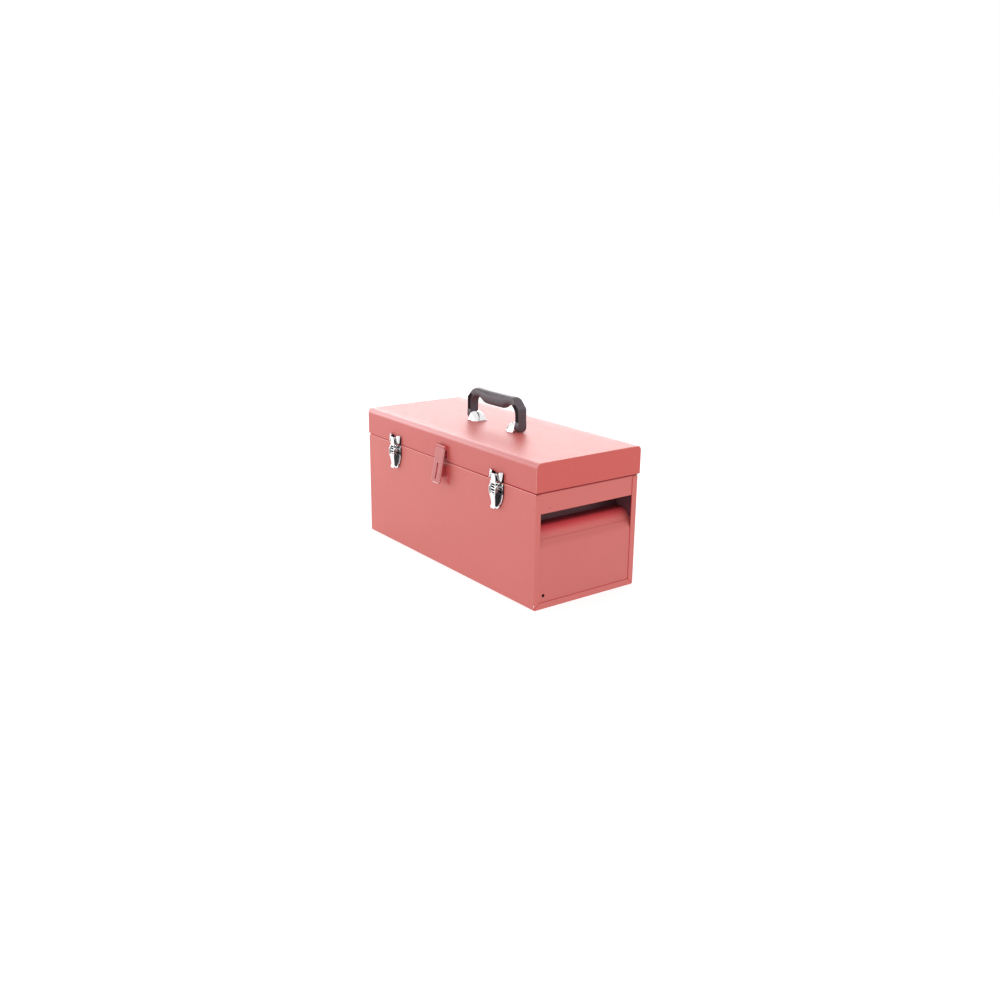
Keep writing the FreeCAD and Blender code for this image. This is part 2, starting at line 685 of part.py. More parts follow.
def hasp():
    """Hasp: a leaf on the lid, a slotted strap that hangs from it, and the padlock staple below."""
    plate = new_body("hasp_plate")
    back = "lid_front_reach"
    axis = (front("hasp_axis_out"), "hasp_axis_up")
    pad(plate, "XZ", front(f"{back} + hasp_wall"), front(back), [
        ("-hasp_half", "hasp_axis_up - hasp_leaf_drop", "2"),
        ("hasp_half", "hasp_axis_up - hasp_leaf_drop", "2"),
        ("hasp_half", "hasp_axis_up"), ("-hasp_half", "hasp_axis_up")])
    third = "hasp_half / 3"
    for edge in (-1, 1):
        span = sorted((f"{edge} * hasp_half", f"{edge} * ({third} + side_clearance / 2)"), key=number)
        pad(plate, "YZ", *span, [
            (front(back), "hasp_axis_up - 6"), (front(back), "hasp_axis_up + hasp_wall"),
            (front("hasp_axis_out"), "hasp_axis_up + hasp_knuckle_radius"),
            (front("hasp_axis_out"), "hasp_axis_up"),
            (front(f"{back} + hasp_wall"), "hasp_axis_up - 6")])
        pad(plate, "YZ", *span, circles=[(*axis, "hasp_knuckle_radius")])
    pocket(plate, "YZ", "-hasp_half - 1", "hasp_half + 1",
           circles=[(*axis, "hasp_pin_radius + pin_clearance")])
    pocket(plate, "XZ", front("4"), front("-1"),
           circles=[(across, up, "rivet_radius") for across, up in HASP_RIVETS])
    keep(rod("hasp_pin", "x", "-hasp_half", "hasp_half", *axis, "hasp_pin_radius"), "hasp_pin")

    # The strap is drawn hanging straight down from its pin, then turned out by its resting tilt.
    strap = new_body("hasp_strap")
    skin = ("-hasp_wall / 2", "hasp_wall / 2")
    neck = "-hasp_knuckle_radius - side_clearance"
    pad(strap, "XZ", *skin, [("-hasp_half", neck), ("hasp_half", neck),
                             ("hasp_half", "-hasp_length", "5"), ("-hasp_half", "-hasp_length", "5")])
    rim = "1.1"
    pad(strap, "XZ", "-hasp_wall", "-hasp_wall / 2 + 0.01", [
        (f"-hasp_half + {rim} * 2", f"{neck} - {rim}", "2"), (f"hasp_half - {rim} * 2", f"{neck} - {rim}", "2"),
        (f"hasp_half - {rim} * 2", f"-hasp_length + {rim} * 2", "4"),
        (f"-hasp_half + {rim} * 2", f"-hasp_length + {rim} * 2", "4")])
    narrow = f"{third} - side_clearance / 2"
    pad(strap, "XZ", *skin, [(f"-({narrow})", "0"), (narrow, "0"), (narrow, neck + " - 1"),
                             (f"-({narrow})", neck + " - 1")])
    pad(strap, "YZ", f"-({narrow})", narrow, circles=[("0", "0", "hasp_knuckle_radius")])
    pocket(strap, "YZ", "-hasp_half", "hasp_half", circles=[("0", "0", "hasp_pin_radius + pin_clearance")])
    pocket(strap, "XZ", "-hasp_wall - 1", "hasp_wall", [
        ("-hasp_slot_half", "-hasp_slot_near", "hasp_slot_half - 0.05"),
        ("hasp_slot_half", "-hasp_slot_near", "hasp_slot_half - 0.05"),
        ("hasp_slot_half", "-hasp_slot_far", "hasp_slot_half - 0.05"),
        ("-hasp_slot_half", "-hasp_slot_far", "hasp_slot_half - 0.05")])
    for letter, text in zip("yz", axis):
        bind(strap, f"Placement.Base.{letter}", text)
    strap.Placement.Rotation = Rotation(Vector(-1, 0, 0), number("hasp_tilt"))

    staple = new_body("hasp_staple")
    pad(staple, "XZ", front("staple_wall"), front("0"), [
        ("-staple_half", "staple_low", "3"), ("staple_half", "staple_low", "3"),
        ("staple_half", "staple_high", "3"), ("-staple_half", "staple_high", "3")])
    pad(staple, "YZ", "-staple_tab_wall / 2", "staple_tab_wall / 2", [
        (front("0.5"), "staple_tab_low"), (front("staple_tab_reach"), "staple_tab_low", "5"),
        (front("staple_tab_reach"), "staple_tab_high", "5"), (front("0.5"), "staple_tab_high")])
    pocket(staple, "YZ", "-staple_tab_wall", "staple_tab_wall",
           circles=[(front("padlock_out"), "padlock_up", "padlock_radius")])
    pocket(staple, "XZ", front("staple_wall + 1"), front("-1"),
           circles=[(across, up, "rivet_radius") for across, up in STAPLE_RIVETS])


def handle():
    """Moulded carrying handle that folds on two pins, each in a bracket just inside a leg."""
    body = new_body("handle_grip")
    low = "handle_axis - handle_wall / 2"
    under = "handle_top - handle_grip"
    half = "handle_width / 2"
    right = [(half, low, "0"), (half, "handle_top - handle_shoulder_drop", "12"),
             (f"{half} - handle_shoulder_in", "handle_top", "14")]
    inside = [("handle_inner", low, "0"), ("handle_inner", under, "12"),
              ("handle_swell_half + handle_swell_slope", under, "6"),
              ("handle_swell_half", f"{under} - handle_swell", "6")]

    def mirrored(corners):
        return [(f"-({across})", up, radius) for across, up, radius in reversed(corners)]

    pad(body, "XZ", "handle_place - handle_wall / 2", "handle_place + handle_wall / 2",
        right + mirrored(right) + mirrored(inside)[::-1] + inside[::-1])
    base = number("handle_axis - handle_wall / 2") + 0.01

    def foot(edge):
        return edge.BoundBox.ZMax < base and edge.BoundBox.YLength < 0.01 and edge.BoundBox.XLength > 5

    def face_edge(edge):
        return edge.BoundBox.YLength < 0.01 and edge.BoundBox.ZMax > base + number("handle_wall") / 2

    round_edges(body, "handle_foot_round", foot)
    round_edges(body, "handle_round", face_edge)
    bore = "handle_pin_radius + pin_clearance"
    for side in (-1, 1):
        span = sorted((f"{side} * (handle_inner - 1)", f"{side} * (handle_inner + handle_pin_bite + 0.5)"),
                      key=number)
        pocket(body, "YZ", *span, circles=[("handle_place", "handle_axis", bore)])
    for name, side in SIDES:
        bracket(name, side)


def bracket(name, side):
    """Bent steel bracket: a tab riveted to the lid, a slope up, and an ear down beside the leg."""
    body = new_body("handle_bracket_" + name)

    def at(inboard):
        return f"{side} * (bracket_ear - ({inboard}))"

    peak = "lid_top + bracket_rise"
    wall = "bracket_wall"
    pad(body, "XZ", "handle_place - bracket_half_depth", "handle_place + bracket_half_depth", [
        (at("0"), "lid_top"), (at("0"), peak, "1.5"), (at("bracket_crest"), peak, "1.5"),
        (at("bracket_run"), f"lid_top + {wall}"), (at("bracket_run + bracket_tab"), f"lid_top + {wall}"),
        (at("bracket_run + bracket_tab"), "lid_top"), (at(f"bracket_run - {wall} / 2"), "lid_top"),
        (at(f"bracket_crest - {wall} / 2"), f"{peak} - {wall}"), (at(wall), f"{peak} - {wall}"),
        (at(wall), "lid_top")])
    for edge in (-1, 1):
        outside = f"handle_place + {edge} * (bracket_half_depth + 1)"
        span = sorted((at("-1"), at("bracket_run")), key=number)
        pocket(body, "YZ", *span, [
            (outside, f"lid_top + {wall} * 2"), (outside, f"{peak} + 1"),
            (f"handle_place + {edge} * bracket_shoulder", f"{peak} + 1"),
            (f"handle_place + {edge} * bracket_half_depth", f"lid_top + {wall} * 2")])
    span = sorted((at("-1"), at("bracket_wall + 0.5")), key=number)
    pocket(body, "YZ", *span, circles=[("handle_place", "handle_axis", "handle_pin_radius + pin_clearance")])
    holes = [(across, along, "rivet_radius") for across, along in BRACKET_RIVETS
             if number(across) * side > 0]
    pocket(body, "XY", "lid_top - 1", f"lid_top + {wall} + 1", circles=holes)
    inner = sorted((at("bracket_wall + 1.6"), at("bracket_wall")), key=number)
    shank = sorted((at("bracket_wall"), at("-bracket_gap - handle_pin_bite")), key=number)
    spot = ("handle_place", "handle_axis")
    pin = joined("handle_pin_" + name, [
        rod(f"handle_pin_{name}_head", "x", *inner, *spot, "handle_pin_head"),
        rod(f"handle_pin_{name}_shank", "x", *shank, *spot, "handle_pin_radius")])
    keep(pin, "handle_pin_" + name)


def tray():
    """Lift-out steel tray: bent pan, two end plates, dividers, and a folding bail with a grip."""
    pan = new_body("tray_pan")
    wrap(pan, "tray_wall", "-tray_half_depth", "tray_half_depth", "tray_low", "tray_top", "tray_bend",
         "tray_half_length * 2")
    for side in (-1, 1):
        pad(pan, "YZ", "-tray_half_length", "tray_half_length", [
            (f"{side} * (tray_half_depth - tray_wall)", "tray_top - tray_hem * 2"),
            (f"{side} * (tray_half_depth - tray_wall)", "tray_top"),
            (f"{side} * (tray_half_depth - tray_wall * 2)", "tray_top"),
            (f"{side} * (tray_half_depth - tray_wall * 2)", "tray_top - tray_hem * 2")])
    inside = "tray_half_depth - tray_wall * 2 - seam_gap"
    floor = "tray_low + tray_wall"
    for name, side in SIDES:
        plate = new_body("tray_end_" + name)
        faces = sorted((f"{side} * tray_half_length", f"{side} * (tray_half_length - tray_wall)"), key=number)
        pad(plate, "YZ", *faces, [(f"-({inside})", floor, "tray_bend"), (inside, floor, "tray_bend"),
                                  (inside, "tray_top"), (f"-({inside})", "tray_top")])
        bore = [("0", "bail_axis", "bail_radius + pin_clearance")]
        pocket(plate, "YZ", f"{faces[0]} - 1", f"{faces[1]} + 1", circles=bore)
    reach = "tray_half_length - tray_wall"
    keep(block("tray_divider_long", (f"-({reach})", reach),
               ("divider_place", "divider_place + tray_wall"), (floor, f"{floor} + divider_height")),
         "tray_divider_long")
    cross = [block(f"tray_divider_{name}", (f"{side} * cross_place", f"{side} * cross_place + tray_wall"),
                   ("divider_place + tray_wall", "tray_half_depth - tray_bend"),
                   (floor, f"{floor} + divider_height"))
             for name, side in SIDES]
    group("tray_dividers_cross", cross)


def bent_rod(corners, radius):
    """A round rod along straight runs joined by arcs; a corner is (point, bend radius)."""
    edges = []
    last = corners[0][0]
    for (before, _), (point, bend), (after, _) in zip(corners, corners[1:], corners[2:]):
        back = (before - point).normalize()
        ahead = (after - point).normalize()
        half = back.getAngle(ahead) / 2
        trim = bend / math.tan(half)
        middle = point + (back + ahead).normalize() * (bend / math.sin(half) - bend)
        edges.append(Part.LineSegment(last, point + back * trim))
        edges.append(Part.Arc(point + back * trim, middle, point + ahead * trim))
        last = point + ahead * trim
    edges.append(Part.LineSegment(last, corners[-1][0]))
    start = corners[0][0]
    ring = Part.Wire([Part.Circle(start, corners[1][0] - start, radius).toShape()])
    path = Part.Wire([edge.toShape() for edge in edges])
    return path.makePipeShell([ring], True, False)


def bail():
    """Wire bail of the tray, folded down at rest, with a tube grip round its middle."""
    half, reach, level = number("bail_half"), number("bail_reach"), number("bail_axis")
    end = number("tray_half_length")
    tight, wide = number("bail_radius * 2"), number("bail_bend")
    corners = [(Vector(-end, 0, level), 0), (Vector(-half, 0, level), tight),
               (Vector(-half, -reach, level), wide), (Vector(half, -reach, level), wide),
               (Vector(half, 0, level), tight), (Vector(end, 0, level), 0)]
    feature = doc.addObject("Part::Feature", "tray_bail")
    feature.Shape = bent_rod(corners, number("bail_radius"))
    keep(feature, "tray_bail")
    sleeve = doc.addObject("Part::Cut", "tray_bail_grip")
    spot = ("-bail_reach", "bail_axis")
    sleeve.Base = rod("grip_outside", "x", "-bail_grip_half", "bail_grip_half", *spot, "bail_grip_radius")
    sleeve.Tool = rod("grip_bore", "x", "-bail_grip_half - 1", "bail_grip_half + 1", *spot,
                      "bail_radius + seam_gap")
    keep(sleeve, "tray_bail_grip")


def rivets():
    """Rivets, one node for each group."""
    inner = "-half_depth + sheet_wall"
    group("latch_rivets", [rivet_y(f"latch_rivet_{i}", across, up, front("latch_wall"), inner)
                           for i, (across, up) in enumerate(LATCH_RIVETS, start=1)])
    group("staple_rivets", [rivet_y(f"staple_rivet_{i}", across, up, front("staple_wall"), inner)
                            for i, (across, up) in enumerate(STAPLE_RIVETS, start=1)])
    inner = "lid_front + sheet_wall"
    outer = "lid_front - latch_wall"
    group("keeper_rivets", [rivet_y(f"keeper_rivet_{i}", across, up, outer, inner)
                            for i, (across, up) in enumerate(KEEPER_RIVETS, start=1)])
    group("hasp_rivets", [rivet_y(f"hasp_rivet_{i}", across, up, "lid_front - hasp_wall", inner)
                          for i, (across, up) in enumerate(HASP_RIVETS, start=1)])
    group("bracket_rivets", [rivet_z(f"bracket_rivet_{i}", across, along, "lid_top - sheet_wall",
                                     "lid_top + bracket_wall")
                             for i, (across, along) in enumerate(BRACKET_RIVETS, start=1)])


body_shell()
for name, side in SIDES:
    end_panel(name, side)
    grip_band(name, side)
    tray_rest(name, side)
lid()
hinge()
for name, side in SIDES:
    latch(name, side)
hasp()
handle()
tray()
bail()
rivets()
doc.recompute()

faults = [thing.Label for thing in doc.Objects if {"Invalid", "Error"} & set(thing.State)]
faults += [part.Label for part in parts if part.Shape.isNull() or not part.Shape.isValid()]
if faults:
    raise ValueError("these did not build: " + ", ".join(faults))
os.makedirs("parts", exist_ok=True)
for part in parts:
    part.Shape.exportStep(f"parts/{part.Label}.step")
    print(f"{part.Label}: {len(part.Shape.Solids)} solid(s), {part.Shape.Volume / 1000:.2f} cm3")
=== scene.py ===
import math
import bmesh
import bpy
from mathutils import Matrix, Quaternion, Vector


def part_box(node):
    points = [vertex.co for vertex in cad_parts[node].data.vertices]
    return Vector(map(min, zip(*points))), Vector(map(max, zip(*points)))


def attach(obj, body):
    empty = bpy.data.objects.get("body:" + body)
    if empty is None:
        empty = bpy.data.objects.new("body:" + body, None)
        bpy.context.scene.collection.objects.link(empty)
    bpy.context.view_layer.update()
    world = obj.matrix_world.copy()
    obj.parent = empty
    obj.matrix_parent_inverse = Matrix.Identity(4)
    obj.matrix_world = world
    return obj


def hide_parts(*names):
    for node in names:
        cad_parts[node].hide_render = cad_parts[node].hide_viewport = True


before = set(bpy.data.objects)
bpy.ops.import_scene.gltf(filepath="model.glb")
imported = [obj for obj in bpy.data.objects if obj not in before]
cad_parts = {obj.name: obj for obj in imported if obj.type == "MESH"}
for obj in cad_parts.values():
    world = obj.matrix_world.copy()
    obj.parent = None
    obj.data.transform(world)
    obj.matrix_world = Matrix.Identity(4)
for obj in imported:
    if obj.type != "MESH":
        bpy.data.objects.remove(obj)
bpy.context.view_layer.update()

# ---------------------------------------------------------------------------
# Camera. It stands in front of the box's right end, a little above the lid,
# and looks at the middle of the body with a normal lens.
aim = Vector((0.0198, 0.0, 0.1083))
azimuth, elevation, roll = math.radians(53.04), math.radians(16.49), math.radians(0.72)
back = Vector((math.sin(azimuth) * math.cos(elevation), -math.cos(azimuth) * math.cos(elevation),
               math.sin(elevation)))
camera_data = bpy.data.cameras.new("camera")
camera_data.lens = 37.0
camera_data.sensor_width = 36.0
camera_data.clip_end = 200.0
camera = bpy.data.objects.new("camera", camera_data)
camera.location = aim + back * 1.8262
camera.rotation_mode = "QUATERNION"
camera.rotation_quaternion = back.to_track_quat("Z", "Y") @ Quaternion((0, 0, 1), roll)
bpy.context.scene.collection.objects.link(camera)
bpy.context.scene.camera = camera
bpy.context.scene.view_settings.view_transform = "Standard"


# ---------------------------------------------------------------------------
# Body. Folded sheet steel in red satin powder coat: a fine orange peel, faint
# mottling and tiny pale specks. The coat is given a darker, duller colour in
# the seam below the lid and up in the end recesses, to stand for their shade.
class Socket:
    """One output of a node, with arithmetic that adds Math nodes."""

    def __init__(self, finish, socket):
        self.finish = finish
        self.socket = socket

    def maths(self, operation, *values):
        return self.finish.node("ShaderNodeMath", {"operation": operation}, dict(enumerate(values)))

    def __add__(self, other):
        return self.maths("ADD", self, other)

    def __sub__(self, other):
        return self.maths("SUBTRACT", self, other)

    def __rsub__(self, other):
        return self.maths("SUBTRACT", other, self)

    def __mul__(self, other):
        return self.maths("MULTIPLY", self, other)

    __radd__ = __add__
    __rmul__ = __mul__

    def size(self):
        return self.maths("ABSOLUTE", self)

    def rise(self, low, high):
        """0 at low, 1 at high, and a smooth step between."""
        return self.finish.node("ShaderNodeMapRange", {"interpolation_type": "SMOOTHSTEP"},
                                {"Value": self, "From Min": low, "From Max": high})


class Finish:
    """A material being built on one Principled shader."""

    def __init__(self, name, **settings):
        self.material = bpy.data.materials.new(name)
        self.material.use_nodes = True
        self.tree = self.material.node_tree
        self.shader = self.tree.nodes["Principled BSDF"]
        self.place = self.node("ShaderNodeTexCoord", {}, {}, output="Object")
        self.x, self.y, self.z = (self.node("ShaderNodeSeparateXYZ", {}, {0: self.place}, output=axis)
                                  for axis in "XYZ")
        self.facing = self.node("ShaderNodeTexCoord", {}, {}, output="Normal")
        self.set(**settings)

    def node(self, kind, settings, sockets, output=0):
        node = self.tree.nodes.new(kind)
        for name, value in settings.items():
            setattr(node, name, value)
        self.fill(node, sockets)
        return Socket(self, node.outputs[output])

    def fill(self, node, sockets):
        for name, value in sockets.items():
            if isinstance(value, Socket):
                self.tree.links.new(value.socket, node.inputs[name])
            else:
                node.inputs[name].default_value = value

    def set(self, **settings):
        self.fill(self.shader, {name.replace("_", " "): value for name, value in settings.items()})

    def faces(self, axis):
        """How far the surface looks along an axis, from -1 to 1."""
        return self.node("ShaderNodeSeparateXYZ", {}, {0: self.facing}, output=axis)

    def noise(self, scale, detail=3.0, rough=0.55):
        return self.node("ShaderNodeTexNoise", {},
                         {"Vector": self.place, "Scale": scale, "Detail": detail, "Roughness": rough})

    def blend(self, factor, first, second):
        return self.node("ShaderNodeMix", {"data_type": "RGBA"}, {0: factor, 6: first, 7: second}, output=2)

    def bump(self, height, strength, distance):
        return self.node("ShaderNodeBump", {}, {"Height": height, "Strength": strength, "Distance": distance})

    def near(self, point, radius):
        """1 at a point and 0 beyond the radius, for a chip or a dent's painted shade."""
        reach = self.node("ShaderNodeVectorMath", {"operation": "DISTANCE"}, {0: self.place, 1: point},
                          output="Value")
        return 1 - reach.rise(radius * 0.6, radius)


def red_coat(name, base, shade=None, painted_light=None, chip=None, dent_shade=None, shine=0.5,
             shade_color=(0.035, 0.004, 0.007, 1)):
    """Red powder coat. shade(paint) is 1 where painted shade makes it dark and dull, and the colour function
    passed in paints light and shade into it.
    """
    paint = Finish(name, IOR=1.62, Specular_IOR_Level=shine)
    fine = paint.noise(420.0, 2.0)
    speck = paint.noise(1100.0, 1.0).rise(0.64, 0.74)
    red = [[min(1.0, value * gain) for value in base] + [1.0] for gain in (0.93, 1.07)]
    pale = [min(1.0, value * 1.1 + 0.06) for value in base] + [1.0]
    color = paint.blend(paint.noise(8.0, 2.0) * 0.5 + fine * 0.5, *red)
    color = paint.blend(speck * 0.4, color, pale)
    dull = 0.0
    if painted_light:
        color, dull = painted_light(paint, color)
    if shade:
        shaded = shade(paint)
        color = paint.blend(shaded, color, shade_color)
        dull = shaded + dull
    # A dent is painted in as a darker spot: painted shade, not a dent in the shape.
    if dent_shade:
        color = paint.blend(paint.near(dent_shade, 0.0022) * 0.6, color, (0.34, 0.02, 0.02, 1))
    if chip:
        color = paint.blend(paint.near(chip, 0.0014), color, (0.8, 0.78, 0.76, 1))
    paint.set(Base_Color=color, Roughness=paint.noise(55.0) * 0.1 + 0.42, Metallic=dull,
              Normal=paint.bump(fine + paint.noise(160.0, 2.0) * 0.6, 0.22, 0.0003))
    return paint.material


def dress(material, *nodes):
    """Put a finish on CAD pieces that keep their own shape."""
    for node in nodes:
        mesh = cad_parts[node].data
        mesh.materials.clear()
        mesh.materials.append(material)


body_low, body_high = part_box("body_shell")
wall_top = 0.189
mouth_low, mouth_high, mouth_half = 0.106, 0.184, 0.1058


def lip_shade(paint):
    """The lip in the seam below the lid is darker to the right."""
    return paint.z.rise(wall_top - 0.0002, wall_top + 0.002) * (paint.x.rise(0.02, 0.16) * 0.4 + 0.5)


def recess_walls(paint, color):
    """The sheet inside each end recess, above and beside the grip, lies in shade."""
    across = paint.x.size()
    walls = across.rise(0.200, 0.206) * (1 - across.rise(0.2505, 0.2509))
    walls = walls * (1 - paint.y.size().rise(mouth_half, mouth_half + 0.0005))
    walls = walls * paint.z.rise(mouth_low, mouth_low + 0.004)
    walls = walls * (1 - paint.z.rise(mouth_high, mouth_high + 0.002))
    return paint.blend(walls, color, (0.20, 0.080, 0.095, 1)), walls * 0.4


body_red = (0.510, 0.099, 0.085)
dress(red_coat("body_red_coat", body_red, shade=lip_shade, shade_color=(0.36, 0.020, 0.036, 1),
               painted_light=recess_walls, chip=(body_high.x, body_low.y, 0.008)), "body_shell")

# The grip bands close the top of each end. A small dent on the right one is painted as a darker spot of shade.
band_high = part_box("right_grip_band")[1]


def band_shade(paint):
    """The top strip of each band lies in the shade of the lid's edge."""
    return paint.z.rise(wall_top - 0.0002, wall_top + 0.0022)


dress(red_coat("band_red_coat", body_red, shade=band_shade, shade_color=(0.22, 0.014, 0.020, 1),
               dent_shade=(band_high.x, -0.0774, 0.1646)), "left_grip_band", "right_grip_band")

# The end sheets bend in at a fold and run up a ramp as the recess's floor. Low in the
# front corner a drain hole is painted in as a dark disc of painted shade.
panel_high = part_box("right_end_panel")[1]
pocket_face = panel_high.x - 0.0012
fold_height = 0.1128
drain_y, drain_z, drain_radius = body_low.y + 0.0197, 0.022, 0.0038


def ramp_light_and_shade(paint, color):
    """Painted light and shade up the ramp: paler low down, a painted shade line at the fold, then deep red and
    dark painted shade deep inside; the drain hole is a painted dark disc.
    """
    across = paint.x.size()
    outer = (paint.faces("X") * paint.x.maths("SIGN", paint.x) + paint.faces("Z")).rise(-0.1, 0.2)
    inside = (1 - across.rise(pocket_face - 0.0006, pocket_face)) * paint.z.rise(0.1, mouth_low)
    inside = inside * outer * (1 - paint.z.rise(mouth_high, mouth_high + 0.002))
    fold = 1 - (paint.z - fold_height).size().rise(0.0002, 0.0008)
    color = paint.blend(inside * paint.z.rise(mouth_low, 0.118), color, (0.70, 0.16, 0.145, 1))
    color = paint.blend(inside * fold * 0.4, color, (0.42, 0.03, 0.04, 1))
    color = paint.blend(inside * paint.z.rise(0.115, 0.132), color, (1.0, 0.065, 0.095, 1))
    deep = inside * paint.z.rise(0.126, 0.130) * (1 - across.rise(0.2178, 0.2300))
    drain = (paint.near((pocket_face, drain_y, drain_z), drain_radius)
             + paint.near((-pocket_face, drain_y, drain_z), drain_radius))
    color = paint.blend(deep, color, (0.070, 0.020, 0.026, 1))
    return paint.blend(drain, color, (0.01, 0.005, 0.006, 1)), deep * 0.6 + drain


dress(red_coat("recess_red_coat", (0.495, 0.096, 0.083), painted_light=ramp_light_and_shade), "left_end_panel",
      "right_end_panel")



# ---------------------------------------------------------------------------
# End flanges. The body's sheet is folded over each end in a narrow flange and
# cut to a mitre at both bottom corners. Slim dark beads along the flange's inner
# edges are painted shade at the step, and those on the mitres mark the joints.
def finish_piece(name, bm, body, material, replaced=(), angle=35):
    """Turn a bmesh into a piece that rides on a body."""
    bmesh.ops.remove_doubles(bm, verts=bm.verts, dist=1e-6)
    bmesh.ops.recalc_face_normals(bm, faces=bm.faces)
    mesh = bpy.data.meshes.new(name)
    bm.to_mesh(mesh)
    bm.free()
    mesh.shade_smooth()
    mesh.set_sharp_from_angle(angle=math.radians(angle))
    mesh.materials.append(material)
    piece = bpy.data.objects.new(name, mesh)
    bpy.context.scene.collection.objects.link(piece)
    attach(piece, body)
    if replaced:
        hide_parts(*replaced)
    return piece


def add_bar(bm, start, end, width, height, up):
    """A slim bar from start to end, width across and height along up, with softened edges."""
    start, end, up = Vector(start), Vector(end), Vector(up).normalized()
    along = (end - start).normalized()
    across = along.cross(up).normalized()
    turn = Matrix((along, across, up)).transposed().to_4x4()
    size = Matrix.Diagonal(((end - start).length, width, height, 1))
    made = bmesh.ops.create_cube(bm, size=1.0, matrix=Matrix.Translation((start + end) / 2) @ turn @ size)
    edges = list({edge for vert in made["verts"] for edge in vert.link_edges})
    bmesh.ops.bevel(bm, geom=edges, offset=min(width, height) * 0.2, segments=2, profile=0.5,
                    affect="EDGES", material=-1)


fold_dark = red_coat("fold_red_coat", (0.50, 0.030, 0.042), shine=0.2)
flange, line_wide, mitre_wide = 0.0103, 0.0006, 0.0009
bm = bmesh.new()
for side in (-1, 1):
    step, face, out = side * (panel_high.x + 0.0002), side * body_high.x, (side, 0, 0)
    inner = body_high.y - flange
    for edge in (-1, 1):
        add_bar(bm, (step, edge * (inner - 0.0002), flange), (step, edge * (inner - 0.0002), 0.186),
                line_wide, line_wide, out)
        add_bar(bm, (face, edge * inner, flange), (face, edge * (body_high.y - 0.0012), 0.0012),
                mitre_wide, 0.0002, out)
    add_bar(bm, (step, -inner, flange + 0.0002), (step, inner, flange + 0.0002), line_wide, line_wide, out)
finish_piece("flange_lines", bm, "body", fold_dark)

# ---------------------------------------------------------------------------
# Lid. One sheet folded over front and back in a wide soft bend, with an end
# plate let in at each side. The bends and the edge round the end plate are
# coated paler, to stand for the light they catch.
lid_low, lid_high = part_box("lid_cover")


def bend_highlight(paint, color):
    """Painted highlight along the front and back bends, fading over the top and to the right, and the top face
    painted a lighter red.
    """
    along = 1 - paint.x.rise(-0.15, 0.26) * 0.6
    across = paint.y.size()
    bend = across.rise(0.094, 0.1015) * paint.z.rise(0.2300, 0.2375)
    top = across.rise(0.070, 0.099) * paint.z.rise(0.236, 0.2385)
    color = paint.blend(paint.z.rise(0.2375, 0.2385) * 0.5, color, (0.64, 0.14, 0.125, 1))
    color = paint.blend(top * along * 0.16, color, (0.80, 0.42, 0.42, 1))
    return paint.blend(bend * along * 0.62, color, (0.85, 0.48, 0.50, 1)), 0.0


dress(red_coat("lid_red_coat", (0.485, 0.079, 0.069), painted_light=bend_highlight), "lid_cover")
# The end plates take a deeper, darker copy of the lid's coat: painted shade on the ends.
dress(red_coat("lid_end_red_coat", (0.490, 0.055, 0.043)), "lid_end_left", "lid_end_right")


def add_bead(bm, points, radius, bends=0.0, closed=False):
    """A round bead along a line of points, its corners bent to a radius."""
    path = bmesh.new()
    verts = [path.verts.new(point) for point in points]
    for first, second in zip(verts, verts[1:] + verts[:1] if closed else verts[1:]):
        path.edges.new((first, second))
    if bends:
        bmesh.ops.bevel(path, geom=verts if closed else verts[1:-1], offset=bends, segments=6, profile=0.5,
                        affect="VERTICES", material=-1)
    start = next((vert for vert in path.verts if len(vert.link_edges) == 1), None) or next(iter(path.verts))
    line, edge = [start], start.link_edges[0]
    while edge:
        vert = edge.other_vert(line[-1])
        if vert is start:
            break
        line.append(vert)
        edge = next((other for other in vert.link_edges if other is not edge), None)
    curve = bpy.data.curves.new("bead", "CURVE")
    curve.dimensions = "3D"
    curve.bevel_depth = radius
    curve.bevel_resolution = 2
    curve.use_fill_caps = not closed
    spline = curve.splines.new("POLY")
    spline.points.add(len(line) - 1)
    for point, vert in zip(spline.points, line):
        point.co = (*vert.co, 1.0)
    spline.use_cyclic_u = closed
    path.free()
    holder = bpy.data.objects.new("bead", curve)
    tube = bpy.data.meshes.new_from_object(holder)
    bm.from_mesh(tube)
    bpy.data.objects.remove(holder)
    bpy.data.curves.remove(curve)
    bpy.data.meshes.remove(tube)


def round_lid_end(bm, end, sides, foot, radius, bends):
    """A bead up the front, over the top and down the back of a lid end."""
    front, back, top = lid_low.y + sides, lid_high.y - sides, lid_high.z - sides
    add_bead(bm, [(end, front, lid_low.z + foot), (end, front, top), (end, back, top),
                  (end, back, lid_low.z + foot)], radius, bends=bends)


edge_light = red_coat("light_edge_red_coat", (0.88, 0.50, 0.48))
bm = bmesh.new()
for side in (-1, 1):
    round_lid_end(bm, side * (lid_high.x - 0.00066), 0.0006, 0.0008, 0.00065, 0.0076)
finish_piece("lid_edge_beads", bm, "lid", edge_light)

# Inside the pale edge the end plate's joint shows as a fine darker line.
bm = bmesh.new()
for side in (-1, 1):
    round_lid_end(bm, side * (lid_high.x - 0.0005), 0.0021, 0.0021, 0.00045, 0.0062)
finish_piece("lid_joint_lines", bm, "lid", fold_dark)

# ---------------------------------------------------------------------------
# Seam under the lid. A slim dark strip at each end is painted shade in the gap below
# the lid's edge, and the body's top edge is rolled at the front where the lid
# comes down on it, its pale colour a painted highlight.
seam_dark = red_coat("seam_red_coat", (0.19, 0.010, 0.015), shine=0.1)
seam_half, seam_height = 0.1045, 0.1916
bm = bmesh.new()
for side in (-1, 1):
    strip_x = side * (band_high.x + 0.0003)
    add_bar(bm, (strip_x, -seam_half, seam_height), (strip_x, seam_half, seam_height), 0.0022, 0.0006,
            (side, 0, 0))
finish_piece("seam_shadow_strips", bm, "body", seam_dark)

